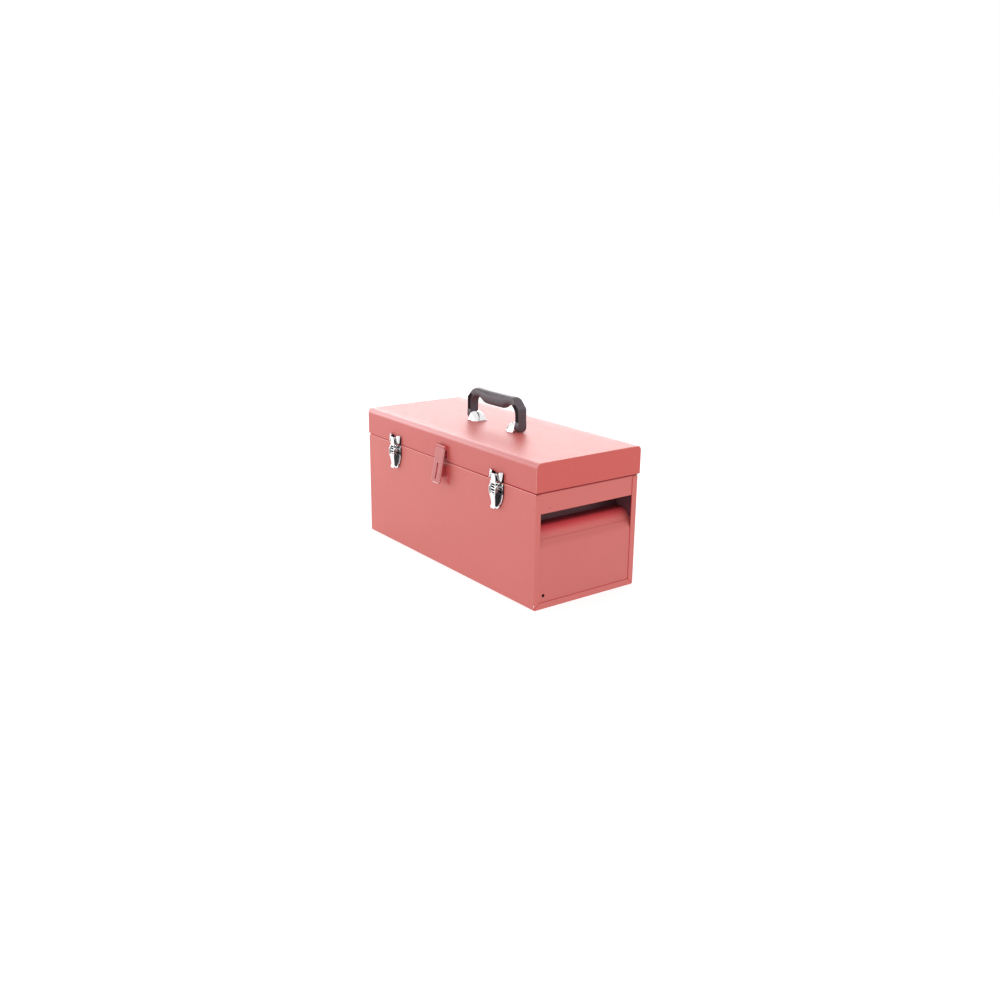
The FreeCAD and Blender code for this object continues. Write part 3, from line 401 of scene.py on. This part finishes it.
# The roll is coloured pale: a painted highlight along the edge.
top_edge_highlight = red_coat("edge_red_coat", (0.72, 0.24, 0.22))
bm = bmesh.new()
add_bead(bm, [(-body_high.x + 0.001, body_low.y + 0.0009, wall_top + 0.0006),
              (body_high.x - 0.001, body_low.y + 0.0009, wall_top + 0.0004)], 0.0009)
finish_piece("body_top_roll", bm, "body", top_edge_highlight)

# ---------------------------------------------------------------------------
# Hinge, hasp pin, tray rests and tray bail. Zinc-plated steel, rolled or bent
# to shape, with the dull crystals of plating.


def plated(name, base, roughness, sides=0.0, root=None):
    """Plated steel. sides paints the flanks that face along X dark, in streaks, a painted shade, and root(metal)
    marks shaded seats.
    """
    metal = Finish(name, Metallic=1.0)
    haze = metal.noise(90.0, 4.0)
    color = metal.blend(haze, [value * 0.86 for value in base] + [1.0], [*base, 1.0])
    if sides:
        flank = metal.faces("X").size().rise(0.55, 0.9)
        streak = metal.noise(260.0, 3.0).rise(0.42, 0.62)
        color = metal.blend(flank * sides * (streak * 0.4 + 0.6), color, (0.012, 0.012, 0.014, 1))
    if root:
        color = metal.blend(root(metal), color, (0.008, 0.008, 0.010, 1))
    metal.set(Base_Color=color, Roughness=haze * 0.12 + roughness,
              Normal=metal.bump(metal.noise(300.0), 0.12, 0.0002))
    return metal.material


zinc = plated("zinc_plate", (0.62, 0.63, 0.65), 0.28)
dress(zinc, "hinge_body_leaf", "hinge_lid_leaf", "hinge_pin", "hasp_pin", "tray_rest_left", "tray_rest_right",
      "tray_bail")

# ---------------------------------------------------------------------------
# Draw latches. Each is four chromed pressings: a base plate with a raised rim
# and two ears, a lever on a pin between the ears, a pull link with a hooked
# tongue, and a keeper with two fan-shaped wings riveted to the lid.
MM = 0.001
chrome = plated("bright_chrome", (0.90, 0.90, 0.91), 0.07, sides=0.85)
plate_low, plate_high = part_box("latch_plate_right")
body_front = body_low.y
latch_middle = (plate_low.x + plate_high.x) / 2


def seat_shade(metal):
    """The plate's field, the upper part of its rim and the ears' flanks are dull and dark."""
    field = metal.y.rise(body_front - 0.0019, body_front - 0.0013) * metal.noise(230.0, 3.0).rise(0.22, 0.36)
    rim = (metal.x.size() - latch_middle).size().rise(0.0146, 0.0152)
    rim = rim * (1 - metal.z.rise(0.1846, 0.1862))
    upper = metal.z.rise(0.1705, 0.1730) * 0.92
    shade = rim.maths("MAXIMUM", rim, metal.faces("X").size().rise(0.55, 0.9)) * upper
    return field.maths("MAXIMUM", field, shade)


seated = plated("plate_chrome", (0.92, 0.92, 0.93), 0.10, root=seat_shade)


def boss_shade(metal):
    """The dished middle of each boss on the plate is dark."""
    return (metal.y.rise(body_front - 0.00245, body_front - 0.00225)
            * (1 - metal.y.rise(body_front - 0.0018, body_front - 0.0016)))


pin_chrome = plated("pin_chrome", (0.72, 0.72, 0.74), 0.16, root=boss_shade)
keeper_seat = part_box("latch_keeper_right")[1].y


def keeper_shade(metal):
    """The keeper's flat seat on the lid is dark between the bright wings."""
    return metal.y.rise(keeper_seat - 0.0019, keeper_seat - 0.0013)


keeper_chrome = plated("keeper_chrome", (0.90, 0.90, 0.91), 0.08, sides=0.8, root=keeper_shade)
dress(chrome, "latch_pin_left", "latch_pin_right", "latch_link_pin_left", "latch_link_pin_right",
      "latch_rivets", "keeper_rivets", "bracket_rivets", "handle_pin_left", "handle_pin_right")


def add_sheet(bm, outline, normal, wall, rounds=0.0, soft=0.0, rim=0.0, rim_high=0.0):
    """A pressed sheet: an outline with rounded corners, thickened along normal, and a raised rim if asked."""
    sheet = bmesh.new()
    normal = Vector(normal).normalized()
    face = sheet.faces.new([sheet.verts.new(point) for point in outline])
    if rounds:
        bmesh.ops.bevel(sheet, geom=list(sheet.verts), offset=rounds, segments=5, profile=0.5,
                        affect="VERTICES", material=-1)
        sheet.faces.ensure_lookup_table()
        face = max(sheet.faces, key=lambda candidate: candidate.calc_area())
    if face.normal.dot(normal) < 0:
        face.normal_flip()
    face.normal_update()
    far = bmesh.ops.extrude_face_region(sheet, geom=[face])["geom"]
    far_verts = [item for item in far if isinstance(item, bmesh.types.BMVert)]
    bmesh.ops.translate(sheet, verts=far_verts, vec=normal * wall)
    top = next(item for item in far if isinstance(item, bmesh.types.BMFace))
    if rim:
        top.normal_update()
        border = bmesh.ops.inset_region(sheet, faces=[top], thickness=rim, use_even_offset=True)["faces"]
        raised = bmesh.ops.extrude_face_region(sheet, geom=border)["geom"]
        raised_verts = [item for item in raised if isinstance(item, bmesh.types.BMVert)]
        bmesh.ops.translate(sheet, verts=raised_verts, vec=normal * rim_high)
        bmesh.ops.delete(sheet, geom=border, context="FACES_ONLY")
    bmesh.ops.recalc_face_normals(sheet, faces=sheet.faces)
    if soft:
        sharp = [edge for edge in sheet.edges if len(edge.link_faces) == 2 and edge.calc_face_angle(0) > 0.9]
        bmesh.ops.bevel(sheet, geom=sharp, offset=soft, segments=2, profile=0.5, affect="EDGES",
                        clamp_overlap=True, material=-1)
    pour(sheet, bm)


def pour(source, target):
    """Move one bmesh's shape into another."""
    mesh = bpy.data.meshes.new("pour")
    source.to_mesh(mesh)
    source.free()
    target.from_mesh(mesh)
    bpy.data.meshes.remove(mesh)


def add_disc(bm, centre, axis, radius, wall, dish=0.0):
    """A round head: a short cylinder with a softened rim, dished in the middle like a peened pin."""
    head = bmesh.new()
    turn = Vector(axis).to_track_quat("Z", "Y").to_matrix().to_4x4()
    bmesh.ops.create_cone(head, cap_ends=True, segments=28, radius1=radius, radius2=radius, depth=wall,
                          matrix=Matrix.Translation(Vector(centre) + Vector(axis) * wall / 2) @ turn)
    head.normal_update()
    top = max(head.faces, key=lambda face: face.calc_center_median().dot(Vector(axis)))
    if dish:
        bmesh.ops.inset_region(head, faces=[top], thickness=radius * 0.34, use_even_offset=True)
        bmesh.ops.inset_region(head, faces=[top], thickness=radius * 0.12, depth=-dish, use_even_offset=True)
    edges = [edge for edge in head.edges if edge.calc_face_angle(0) > 0.6]
    bmesh.ops.bevel(head, geom=edges, offset=wall * 0.22, segments=2, profile=0.5, affect="EDGES", material=-1)
    pour(head, bm)


def add_strip(bm, columns, rows, place, gaps, wall, toe=0.0, flanks=(), soft=0.0003):
    """A bent strip: a grid laid on place(column, row), with gaps cut out and a wall given to it."""
    strip = bmesh.new()
    bmesh.ops.create_grid(strip, x_segments=len(columns) - 1, y_segments=len(rows) - 1, size=1.0)
    spot = {}
    for vert in strip.verts:
        column = round((vert.co.x + 1) / 2 * (len(columns) - 1))
        row = round((vert.co.y + 1) / 2 * (len(rows) - 1))
        spot[column, row] = vert
    for (column, row), vert in spot.items():
        vert.co = place(columns[column], rows[row])
    holes = [{spot[column + i, row + j] for i in (0, 1) for j in (0, 1)} for column, row in gaps]
    removed = [face for face in strip.faces if any(set(face.verts) == hole for hole in holes)]
    bmesh.ops.delete(strip, geom=removed, context="FACES")
    for row_span, reach in flanks:
        for column in (0, len(columns) - 1):
            long_edges = [edge for edge in strip.edges
                          if all(any(vert is spot[column, row] for row in row_span) for vert in edge.verts)]
            turned = bmesh.ops.extrude_edge_only(strip, edges=long_edges)["geom"]
            turned_verts = [item for item in turned if isinstance(item, bmesh.types.BMVert)]
            bmesh.ops.translate(strip, verts=turned_verts, vec=reach)
    if toe:
        ends = [spot[0, len(rows) - 1], spot[len(columns) - 1, len(rows) - 1]]
        bmesh.ops.bevel(strip, geom=ends, offset=toe, segments=6, profile=0.5, affect="VERTICES", material=-1)
    loose = [vert for vert in strip.verts if not vert.link_faces]
    bmesh.ops.delete(strip, geom=loose, context="VERTS")
    bmesh.ops.recalc_face_normals(strip, faces=strip.faces)
    bmesh.ops.solidify(strip, geom=list(strip.faces), thickness=wall)
    bmesh.ops.recalc_face_normals(strip, faces=strip.faces)
    edges = [edge for edge in strip.edges if len(edge.link_faces) == 2 and edge.calc_face_angle(0) > 0.9]
    bmesh.ops.bevel(strip, geom=edges, offset=soft, segments=2, profile=0.5, affect="EDGES", material=-1)
    pour(strip, bm)


for name in ("left", "right"):
    low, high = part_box("latch_plate_" + name)
    middle = (low.x + high.x) / 2

    def spot_on(across, out, up):
        return Vector((middle + across * MM, body_front - out * MM, up * MM))

    # Base plate: shield outline with a raised rim, and two ears turned out of it.
    bm = bmesh.new()
    half = 17.3
    shield = [(-half, 188.4), (half, 188.4), (half, 171.5), (15.4, 163.5), (12.4, 156.0), (7.0, 148.4),
              (2.6, 145.4), (-2.6, 145.4), (-7.0, 148.4), (-12.4, 156.0), (-15.4, 163.5), (-half, 171.5)]
    add_sheet(bm, [spot_on(across, 0, up) for across, up in shield], (0, -1, 0), 1.1 * MM, rounds=1.4 * MM,
              soft=0.25 * MM, rim=2.5 * MM, rim_high=1.1 * MM)
    for edge in (-1, 1):
        ear = [(0.6, 173.0), (0.6, 188.3), (5.0, 188.4), (8.1, 186.2), (8.1, 178.8), (5.2, 175.6)]
        add_sheet(bm, [spot_on(edge * 9.2, out, up) for out, up in ear], (edge, 0, 0), 1.1 * MM,
                  rounds=1.0 * MM, soft=0.2 * MM)
    finish_piece("latch_base_" + name, bm, "body", seated, replaced=("latch_plate_" + name,))
    bm = bmesh.new()
    for edge in (-1, 1):
        add_disc(bm, spot_on(edge * 10.3, 5.0, 182.3), (edge, 0, 0), 3.0 * MM, 1.0 * MM)
        add_disc(bm, spot_on(edge * 12.7, 1.0, 181.2), (0, -1, 0), 4.1 * MM, 1.6 * MM, dish=0.6 * MM)
    finish_piece("latch_pin_heads_" + name, bm, "body", pin_chrome)

    # Lever: a channel with a slot for the link, and a plain tail that curls out to a round toe.
    bm = bmesh.new()
    rows = [(10.2, 184.0), (10.9, 181.5), (11.0, 178.0), (11.0, 174.0), (10.8, 170.5), (10.1, 167.0),
            (9.0, 160.0), (8.5, 155.0), (8.6, 152.6), (9.3, 150.4), (9.9, 146.9)]
    widths = [8.7, 8.7, 8.7, 8.7, 8.0, 6.8, 5.7, 5.2, 5.2, 5.6, 5.8]
    columns = [-1.0, -0.84, 0.84, 1.0]

    def on_lever(column, row):
        out, up = row
        return spot_on(column * widths[rows.index(row)], out, up)

    add_strip(bm, columns, rows, on_lever, gaps=[(1, 0), (1, 1), (1, 2), (1, 3)], wall=1.0 * MM,
              toe=3.2 * MM, flanks=[(range(0, 4), Vector((0, 7.2 * MM, 0)))])
    finish_piece("latch_lever_arm_" + name, bm, "lever_" + name, chrome,
                 replaced=("latch_lever_" + name,))

    # Pull link: a framed strap with two windows, widening to a tongue whose end curls into a hook.
    bm = bmesh.new()
    rows = [(8.6, 170.9), (8.6, 172.2), (8.6, 179.2), (8.5, 180.9), (8.2, 188.0), (8.0, 190.2), (8.0, 196.0),
            (8.0, 201.6), (8.3, 203.9), (9.0, 205.0), (9.7, 204.4)]
    widths = [6.9, 6.9, 6.9, 6.9, 6.7, 6.0, 5.8, 4.7, 4.2, 4.1, 4.0]
    columns = [-1.0, -0.72, 0.72, 1.0]
    add_strip(bm, columns, rows, on_lever, gaps=[(1, 1), (1, 3)], wall=1.0 * MM, soft=0.25 * MM)
    for edge in (-1, 1):
        add_disc(bm, spot_on(edge * 2.6, 7.4, 174.8), (edge, 0, 0), 1.9 * MM, 2.2 * MM)
    finish_piece("latch_tongue_" + name, bm, "link_" + name, chrome,
                 replaced=("latch_link_" + name,))

    # Keeper: a seat on the lid, two wings raised towards the middle, and the nose the tongue hooks over.
    bm = bmesh.new()
    lid_front = lid_low.y - body_front
    seat = lid_front / -MM

    def on_keeper(across, out, up):
        return spot_on(across, seat + out, up)

    base = [(-16.6, 190.7), (16.6, 190.7), (17.2, 204.0), (12.0, 206.5), (0.0, 203.6), (-12.0, 206.5),
            (-17.2, 204.0)]
    add_sheet(bm, [on_keeper(across, 0, up) for across, up in base], (0, -1, 0), 1.1 * MM, rounds=1.2 * MM,
              soft=0.2 * MM)
    fan = [(17.4, 208.4), (9.4, 206.9), (10.4, 202.0), (13.2, 195.4), (14.8, 193.4), (17.0, 193.8),
           (17.4, 199.0)]
    lean_in, lean_up = 0.30, 0.18
    for edge in (-1, 1):
        lean = (edge * lean_in, -1, lean_up)
        add_sheet(bm, [on_keeper(edge * across, 1.4 + lean_in * (17.4 - across) + lean_up * (208.4 - up), up)
                       for across, up in fan], lean, 1.0 * MM, rounds=1.3 * MM, soft=0.22 * MM)
        add_disc(bm, on_keeper(edge * 13.4, 4.4, 203.6), lean, 1.9 * MM, 0.7 * MM, dish=0.3 * MM)
        add_bead(bm, [on_keeper(edge * across, out, up) for across, out, up in
                      ((5.4, 7.2, 204.8), (8.4, 6.6, 203.4), (9.8, 5.6, 199.0), (9.4, 4.6, 194.6))], 0.8 * MM,
                 bends=2.4 * MM)
    nose = [(0.0, 198.2), (5.2, 198.9), (6.0, 200.2), (6.0, 202.2), (5.0, 203.0), (0.0, 203.2)]
    add_sheet(bm, [on_keeper(-5.8, out, up) for out, up in nose], (1, 0, 0), 11.6 * MM, soft=0.3 * MM)
    finish_piece("latch_strike_" + name, bm, "lid", keeper_chrome,
                 replaced=("latch_keeper_" + name,))

# ---------------------------------------------------------------------------
# Hasp. Painted with the box: a leaf under the front of the lid, a slotted
# strap swinging on its pin, and a staple for a padlock. The strap has a
# rolled border; it and the slot's edge carry a painted highlight.
# The strap takes a darker copy of the box's coat: painted shade.
hasp_coat = red_coat("hasp_red_coat", (0.415, 0.070, 0.066))
dress(hasp_coat, "hasp_strap")
dress(red_coat("staple_red_coat", (0.52, 0.060, 0.062)), "hasp_staple", "hasp_rivets", "staple_rivets")


def leaf_shade(paint):
    """The front of the leaf lies in the strap's shade below the knuckles."""
    return (0 - paint.faces("Y")).rise(0.5, 0.9) * (1 - paint.z.rise(0.2125, 0.2150)) * 0.6


dress(red_coat("leaf_red_coat", (0.52, 0.060, 0.062), shade=leaf_shade, shade_color=(0.14, 0.010, 0.026, 1)),
      "hasp_plate")
hasp_axis = Vector((0.0, body_front - 0.0046, 0.2175))
strap_tilt = math.radians(-11.0)
strap_turn = Matrix.Translation(hasp_axis) @ Matrix.Rotation(strap_tilt, 4, "X")
bm = bmesh.new()
border = [(-11.9, -3.6), (11.9, -3.6), (11.9, -62.4), (-11.9, -62.4)]
add_bead(bm, [Vector((across * MM, -0.6 * MM, up * MM)) for across, up in border], 0.85 * MM,
         bends=4.2 * MM, closed=True)
slot_edge = [(-3.3, -27.3), (3.3, -27.3), (3.3, -58.7), (-3.3, -58.7)]
add_bead(bm, [Vector((across * MM, -1.45 * MM, up * MM)) for across, up in slot_edge], 0.5 * MM,
         bends=3.0 * MM, closed=True)
bmesh.ops.transform(bm, matrix=strap_turn, verts=bm.verts)
finish_piece("hasp_strap_border", bm, "hasp", red_coat("hasp_edge_highlight_red_coat", (0.62, 0.27, 0.27)))

# The toe and the knuckles carry a pale painted highlight.
pale_highlight = red_coat("hasp_highlight_red_coat", (0.86, 0.66, 0.66))
knuckle = (-1.83, 0.92, 0.6)
for name, rider, lines in (("hasp_highlight_edges", "hasp", ((-8.0, 8.0, -0.65, -62.6, 0.85), (-3.9, 3.9, *knuckle))),
                           ("hasp_highlight_knuckles", "lid", ((-10.4, -4.9, *knuckle), (4.9, 10.4, *knuckle)))):
    bm = bmesh.new()
    for start, end, out, up, radius in lines:
        add_bead(bm, [Vector((start, out, up)) * MM, Vector((end, out, up)) * MM], radius * MM)
    bmesh.ops.transform(bm, matrix=strap_turn, verts=bm.verts)
    finish_piece(name, bm, rider, pale_highlight)

# Its pin is painted over at both ends.
pin_low, pin_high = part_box("hasp_pin")
bm = bmesh.new()
for end, out in ((pin_low.x, -1), (pin_high.x, 1)):
    add_disc(bm, (end - out * 0.2 * MM, hasp_axis.y, hasp_axis.z), (out, 0, 0), 2.2 * MM, 0.5 * MM)
finish_piece("hasp_pin_caps", bm, "lid", hasp_coat)

# ---------------------------------------------------------------------------
# Handle brackets. Bright chromed steel: an arched ear beside the handle's leg,
# a tent pressed down from it to the lid, and flared tabs with two rivets.
bracket_chrome = plated("bracket_chrome", (0.92, 0.92, 0.93), 0.12)
lid_top = lid_high.z
for name, side in (("left", -1), ("right", 1)):
    low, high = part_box("handle_bracket_" + name)
    centre = (low.y + high.y) / 2
    ear = max(abs(low.x), abs(high.x))

    def by_ear(inboard, along, up):
        return Vector((side * (ear - inboard * MM), centre + along * MM, lid_top + up * MM))

    bm = bmesh.new()
    arch = [(-13.3, 0.2), (-9.4, 12.0), (-5.0, 16.3), (5.0, 16.3), (9.4, 12.0), (13.3, 0.2)]
    add_sheet(bm, [by_ear(0, along, up) for along, up in arch], (-side, 0, 0), 1.4 * MM, rounds=2.0 * MM,
              soft=0.3 * MM)
    tent = bmesh.new()
    outline = [tent.verts.new(by_ear(1.0, along, up)) for along, up in arch]
    ridge = [tent.edges.new(pair) for pair in zip(outline, outline[1:])]
    slope = ((4.0, 0.99, 0.995, 0.0), (8.0, 0.98, 0.98, 0.0), (12.0, 0.96, 0.93, 0.0), (15.5, 0.93, 0.84, 0.0),
             (18.5, 0.89, 0.70, 0.0), (20.8, 0.85, 0.50, 0.1), (22.4, 0.80, 0.28, 0.3), (23.4, 0.75, 0.06, 0.6))
    for inboard, wide, tall, lift in slope:
        grown = bmesh.ops.extrude_edge_only(tent, edges=ridge)["geom"]
        ridge = [item for item in grown if isinstance(item, bmesh.types.BMEdge) and item.is_boundary
                 and all(vert in grown for vert in item.verts)]
        new_verts = [item for item in grown if isinstance(item, bmesh.types.BMVert)]
        for vert, (along, up) in zip(sorted(new_verts, key=lambda vert: vert.co.y), arch):
            vert.co = by_ear(inboard, along * wide, up * tall + lift)
    bmesh.ops.recalc_face_normals(tent, faces=tent.faces)
    bmesh.ops.solidify(tent, geom=list(tent.faces), thickness=1.0 * MM)
    bmesh.ops.recalc_face_normals(tent, faces=tent.faces)
    pour(tent, bm)
    foot = [(0.0, -15.6), (5.5, -15.6), (8.5, -12.8), (17.5, -7.6), (20.0, -11.4), (24.0, -11.4),
            (24.0, 11.4), (20.0, 11.4), (17.5, 7.6), (8.5, 12.8), (5.5, 15.6), (0.0, 15.6)]
    add_sheet(bm, [by_ear(inboard, along, 0.05) for inboard, along in foot], (0, 0, 1), 1.2 * MM,
              rounds=1.1 * MM, soft=0.25 * MM)
    finish_piece("handle_seat_" + name, bm, "lid", bracket_chrome,
                 replaced=("handle_bracket_" + name,))

# ---------------------------------------------------------------------------
# Handle. One moulding in dark plastic with a spark-eroded grain: square legs
# with a ridge outside and a deep channel in front, chamfered shoulders, and a
# round grip with a palm swell below and a leaf-shaped hollow above.


def moulded(name, base):
    plastic = Finish(name)
    grain = plastic.noise(1300.0, 2.0)
    wear = plastic.noise(40.0, 3.0)
    # Faces turned upward are painted lighter: a painted highlight from above.
    top_light = plastic.faces("Z").rise(0.2, 1.0)
    dark, pale = ([value * gain for value in base] + [1.0] for gain in (0.85, 1.15))
    color = plastic.blend(wear, dark, pale)
    plastic.set(Base_Color=plastic.blend(top_light * 0.5, color, [value * 1.7 for value in base] + [1.0]),
                Roughness=wear * 0.15 + 0.40, Normal=plastic.bump(grain, 0.3, 0.0002))
    return plastic.material


plastic = moulded("handle_plastic", (0.070, 0.055, 0.066))
dress(plastic, "tray_bail_grip")
low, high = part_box("handle_grip")
handle_y, leg_depth = (low.y + high.y) / 2, (high.y - low.y) / 2

# Each row is a cut across the handle: outer x and z, inner x and z, depth share, squareness.
cuts = [(76.0, 242.4, 65.0, 242.4, 0.30, 0.10), (76.0, 242.7, 65.0, 242.7, 0.50, 0.10),
        (76.0, 243.6, 65.0, 243.6, 0.74, 0.10), (76.0, 245.4, 65.0, 245.4, 0.90, 0.10),
        (76.0, 248.4, 65.0, 248.4, 0.985, 0.10), (76.0, 252.0, 65.0, 252.0, 0.985, 0.10),
        (76.0, 256.6, 65.0, 256.6, 0.985, 0.10), (75.9, 257.2, 65.0, 257.2, 0.93, 0.10),
        (75.9, 264.0, 65.0, 264.0, 0.93, 0.10), (75.9, 270.0, 64.8, 269.0, 0.93, 0.10),
        (75.9, 276.0, 64.2, 273.0, 0.94, 0.10), (75.9, 279.6, 63.4, 276.0, 0.95, 0.10),
        (75.2, 281.4, 61.8, 278.8, 0.96, 0.10), (70.6, 285.8, 60.0, 280.8, 0.97, 0.11),
        (66.4, 290.0, 58.4, 282.4, 0.98, 0.12), (63.0, 293.4, 56.8, 283.4, 0.98, 0.14),
        (60.6, 295.8, 55.4, 283.8, 0.97, 0.18), (59.0, 297.2, 54.0, 284.0, 0.93, 0.44),
        (56.6, 298.4, 52.4, 284.0, 0.92, 0.52), (53.4, 298.9, 50.4, 284.0, 0.91, 0.58),
        (48.0, 298.9, 46.4, 283.8, 0.91, 0.64), (43.0, 298.8, 42.0, 283.2, 0.91, 0.68),
        (38.0, 298.6, 37.6, 281.4, 0.92, 0.72), (33.0, 298.5, 33.0, 278.4, 0.94, 0.74),
        (29.0, 298.4, 29.2, 275.9, 0.95, 0.76), (25.0, 298.4, 25.2, 274.9, 0.96, 0.76),
        (18.0, 298.3, 18.0, 274.6, 0.96, 0.76), (9.0, 298.3, 9.0, 274.5, 0.97, 0.76),
        (0.0, 298.3, 0.0, 274.5, 0.97, 0.76)]
bm = bmesh.new()
previous = None
for first, second in list(zip(cuts, cuts[1:])) + [(cuts[-1], None)]:
    steps = 1 if second is None or first[1] < 257 else 4
    for step in range(steps):
        share = step / steps
        cut = first if second is None else [a + (b - a) * share for a, b in zip(first, second)]
        outer, inner = Vector((cut[0], 0, cut[1])) * MM, Vector((cut[2], 0, cut[3])) * MM
        middle, reach = (outer + inner) / 2, (outer - inner) / 2
        ring = bmesh.ops.create_circle(bm, segments=96, radius=1.0)["verts"]
        for vert in ring:
            u, v = (math.copysign(abs(value) ** cut[5], value) if abs(value) > 1e-6 else 0.0
                    for value in vert.co.xy)
            ridge = 1.0 - 0.14 * abs(v) * max(0.0, u) * max(0.0, 1.0 - cut[5] * 1.6)
            vert.co = middle + reach * u * ridge + Vector((0, handle_y + leg_depth * cut[4] * v, 0))
        edges = list({edge for vert in ring for edge in vert.link_edges})
        if previous:
            bmesh.ops.bridge_loops(bm, edges=previous + edges)
        else:
            bm.faces.new(ring)
        previous = edges
bmesh.ops.recalc_face_normals(bm, faces=bm.faces)
bm.normal_update()


def in_channel(face):
    spot = face.calc_center_median()
    return (spot.y < handle_y - leg_depth * 0.85 and 0.2572 < spot.z < 0.2880 and face.normal.y < -0.9
            and spot.x > 0.0585)


channel = [face for face in bm.faces if in_channel(face)]
bmesh.ops.inset_region(bm, faces=channel, thickness=0.6 * MM)
sunk = bmesh.ops.extrude_face_region(bm, geom=channel)["geom"]
sunk_verts = [item for item in sunk if isinstance(item, bmesh.types.BMVert)]
bmesh.ops.translate(bm, verts=sunk_verts, vec=(0, 5.0 * MM, 0))
bmesh.ops.delete(bm, geom=channel, context="FACES_ONLY")
bmesh.ops.mirror(bm, geom=list(bm.verts) + list(bm.edges) + list(bm.faces), matrix=Matrix.Identity(4),
                 merge_dist=1e-5, axis="X")
bmesh.ops.recalc_face_normals(bm, faces=bm.faces)
bm.normal_update()

# The leaf-shaped hollow lies along the front upper quarter of the grip.
leaf_middle, leaf_half, leaf_deep, leaf_turn, leaf_wide = 2.0, 30.0, 1.1, 42.0, 17.0
grip_axis_z = 0.2862
for vert in bm.verts:
    along = (vert.co.x / MM - leaf_middle) / leaf_half
    if abs(along) < 1 and vert.co.z > 0.284:
        turn = math.degrees(math.atan2(handle_y - vert.co.y, vert.co.z - grip_axis_z))
        leaf = 1.0 - abs(turn - leaf_turn - along * 6.0) / (leaf_wide * max(0.02, 1 - along * along))
        if leaf > 0:
            vert.co -= vert.normal * leaf_deep * MM * min(1.0, leaf * 4.0)
finish_piece("handle_moulding", bm, "handle", plastic, replaced=("handle_grip",), angle=40)

# ---------------------------------------------------------------------------
# Tray. Thin steel in the same red coat, a shade deeper, with hemmed edges and
# spot-welded dividers. It keeps the CAD's own sheets.
dress(red_coat("tray_red_coat", (0.46, 0.026, 0.028)), "tray_pan", "tray_end_left", "tray_end_right",
      "tray_divider_long", "tray_dividers_cross")

# ---------------------------------------------------------------------------
# Studio: a wide glowing pale floor, an even white surround, and three large soft
# lights: one low behind the left end that veils the lid, one in front, and a
# faint one facing the right end.
bm = bmesh.new()
bmesh.ops.create_grid(bm, x_segments=1, y_segments=1, size=60.0)
floor_mesh = bpy.data.meshes.new("floor")
bm.to_mesh(floor_mesh)
bm.free()
floor = bpy.data.objects.new("floor", floor_mesh)
bpy.context.scene.collection.objects.link(floor)
floor_finish = Finish("pale_floor", Roughness=0.9, Specular_IOR_Level=0.1, Emission_Color=(1, 1, 1, 1),
                      Emission_Strength=0.74)
floor_greys = (0.35, 0.35, 0.35, 1), (0.37, 0.37, 0.37, 1)
floor_finish.set(Base_Color=floor_finish.blend(floor_finish.noise(3.0), *floor_greys))
floor_mesh.materials.append(floor_finish.material)

world = bpy.data.worlds.new("studio")
world.use_nodes = True
world.node_tree.nodes["Background"].inputs["Color"].default_value = (1, 1, 1, 1)
world.node_tree.nodes["Background"].inputs["Strength"].default_value = 1.0
bpy.context.scene.world = world


def soft_light(name, place, size, power):
    data = bpy.data.lights.new(name, "AREA")
    data.shape = "RECTANGLE"
    data.size, data.size_y = size
    data.energy = power
    lamp = bpy.data.objects.new(name, data)
    lamp.location = place
    lamp.rotation_mode = "QUATERNION"
    lamp.rotation_quaternion = (Vector(place) - Vector((0, 0, 0.12))).to_track_quat("Z", "Y")
    bpy.context.scene.collection.objects.link(lamp)


soft_light("back_light", (-3.2, 2.4, 1.5), (3.6, 2.4), 94)
soft_light("front_light", (-2.4, -1.8, 0.7), (2.0, 1.2), 30)
soft_light("right_fill", (3.4, -0.6, 0.55), (2.0, 1.2), 15)
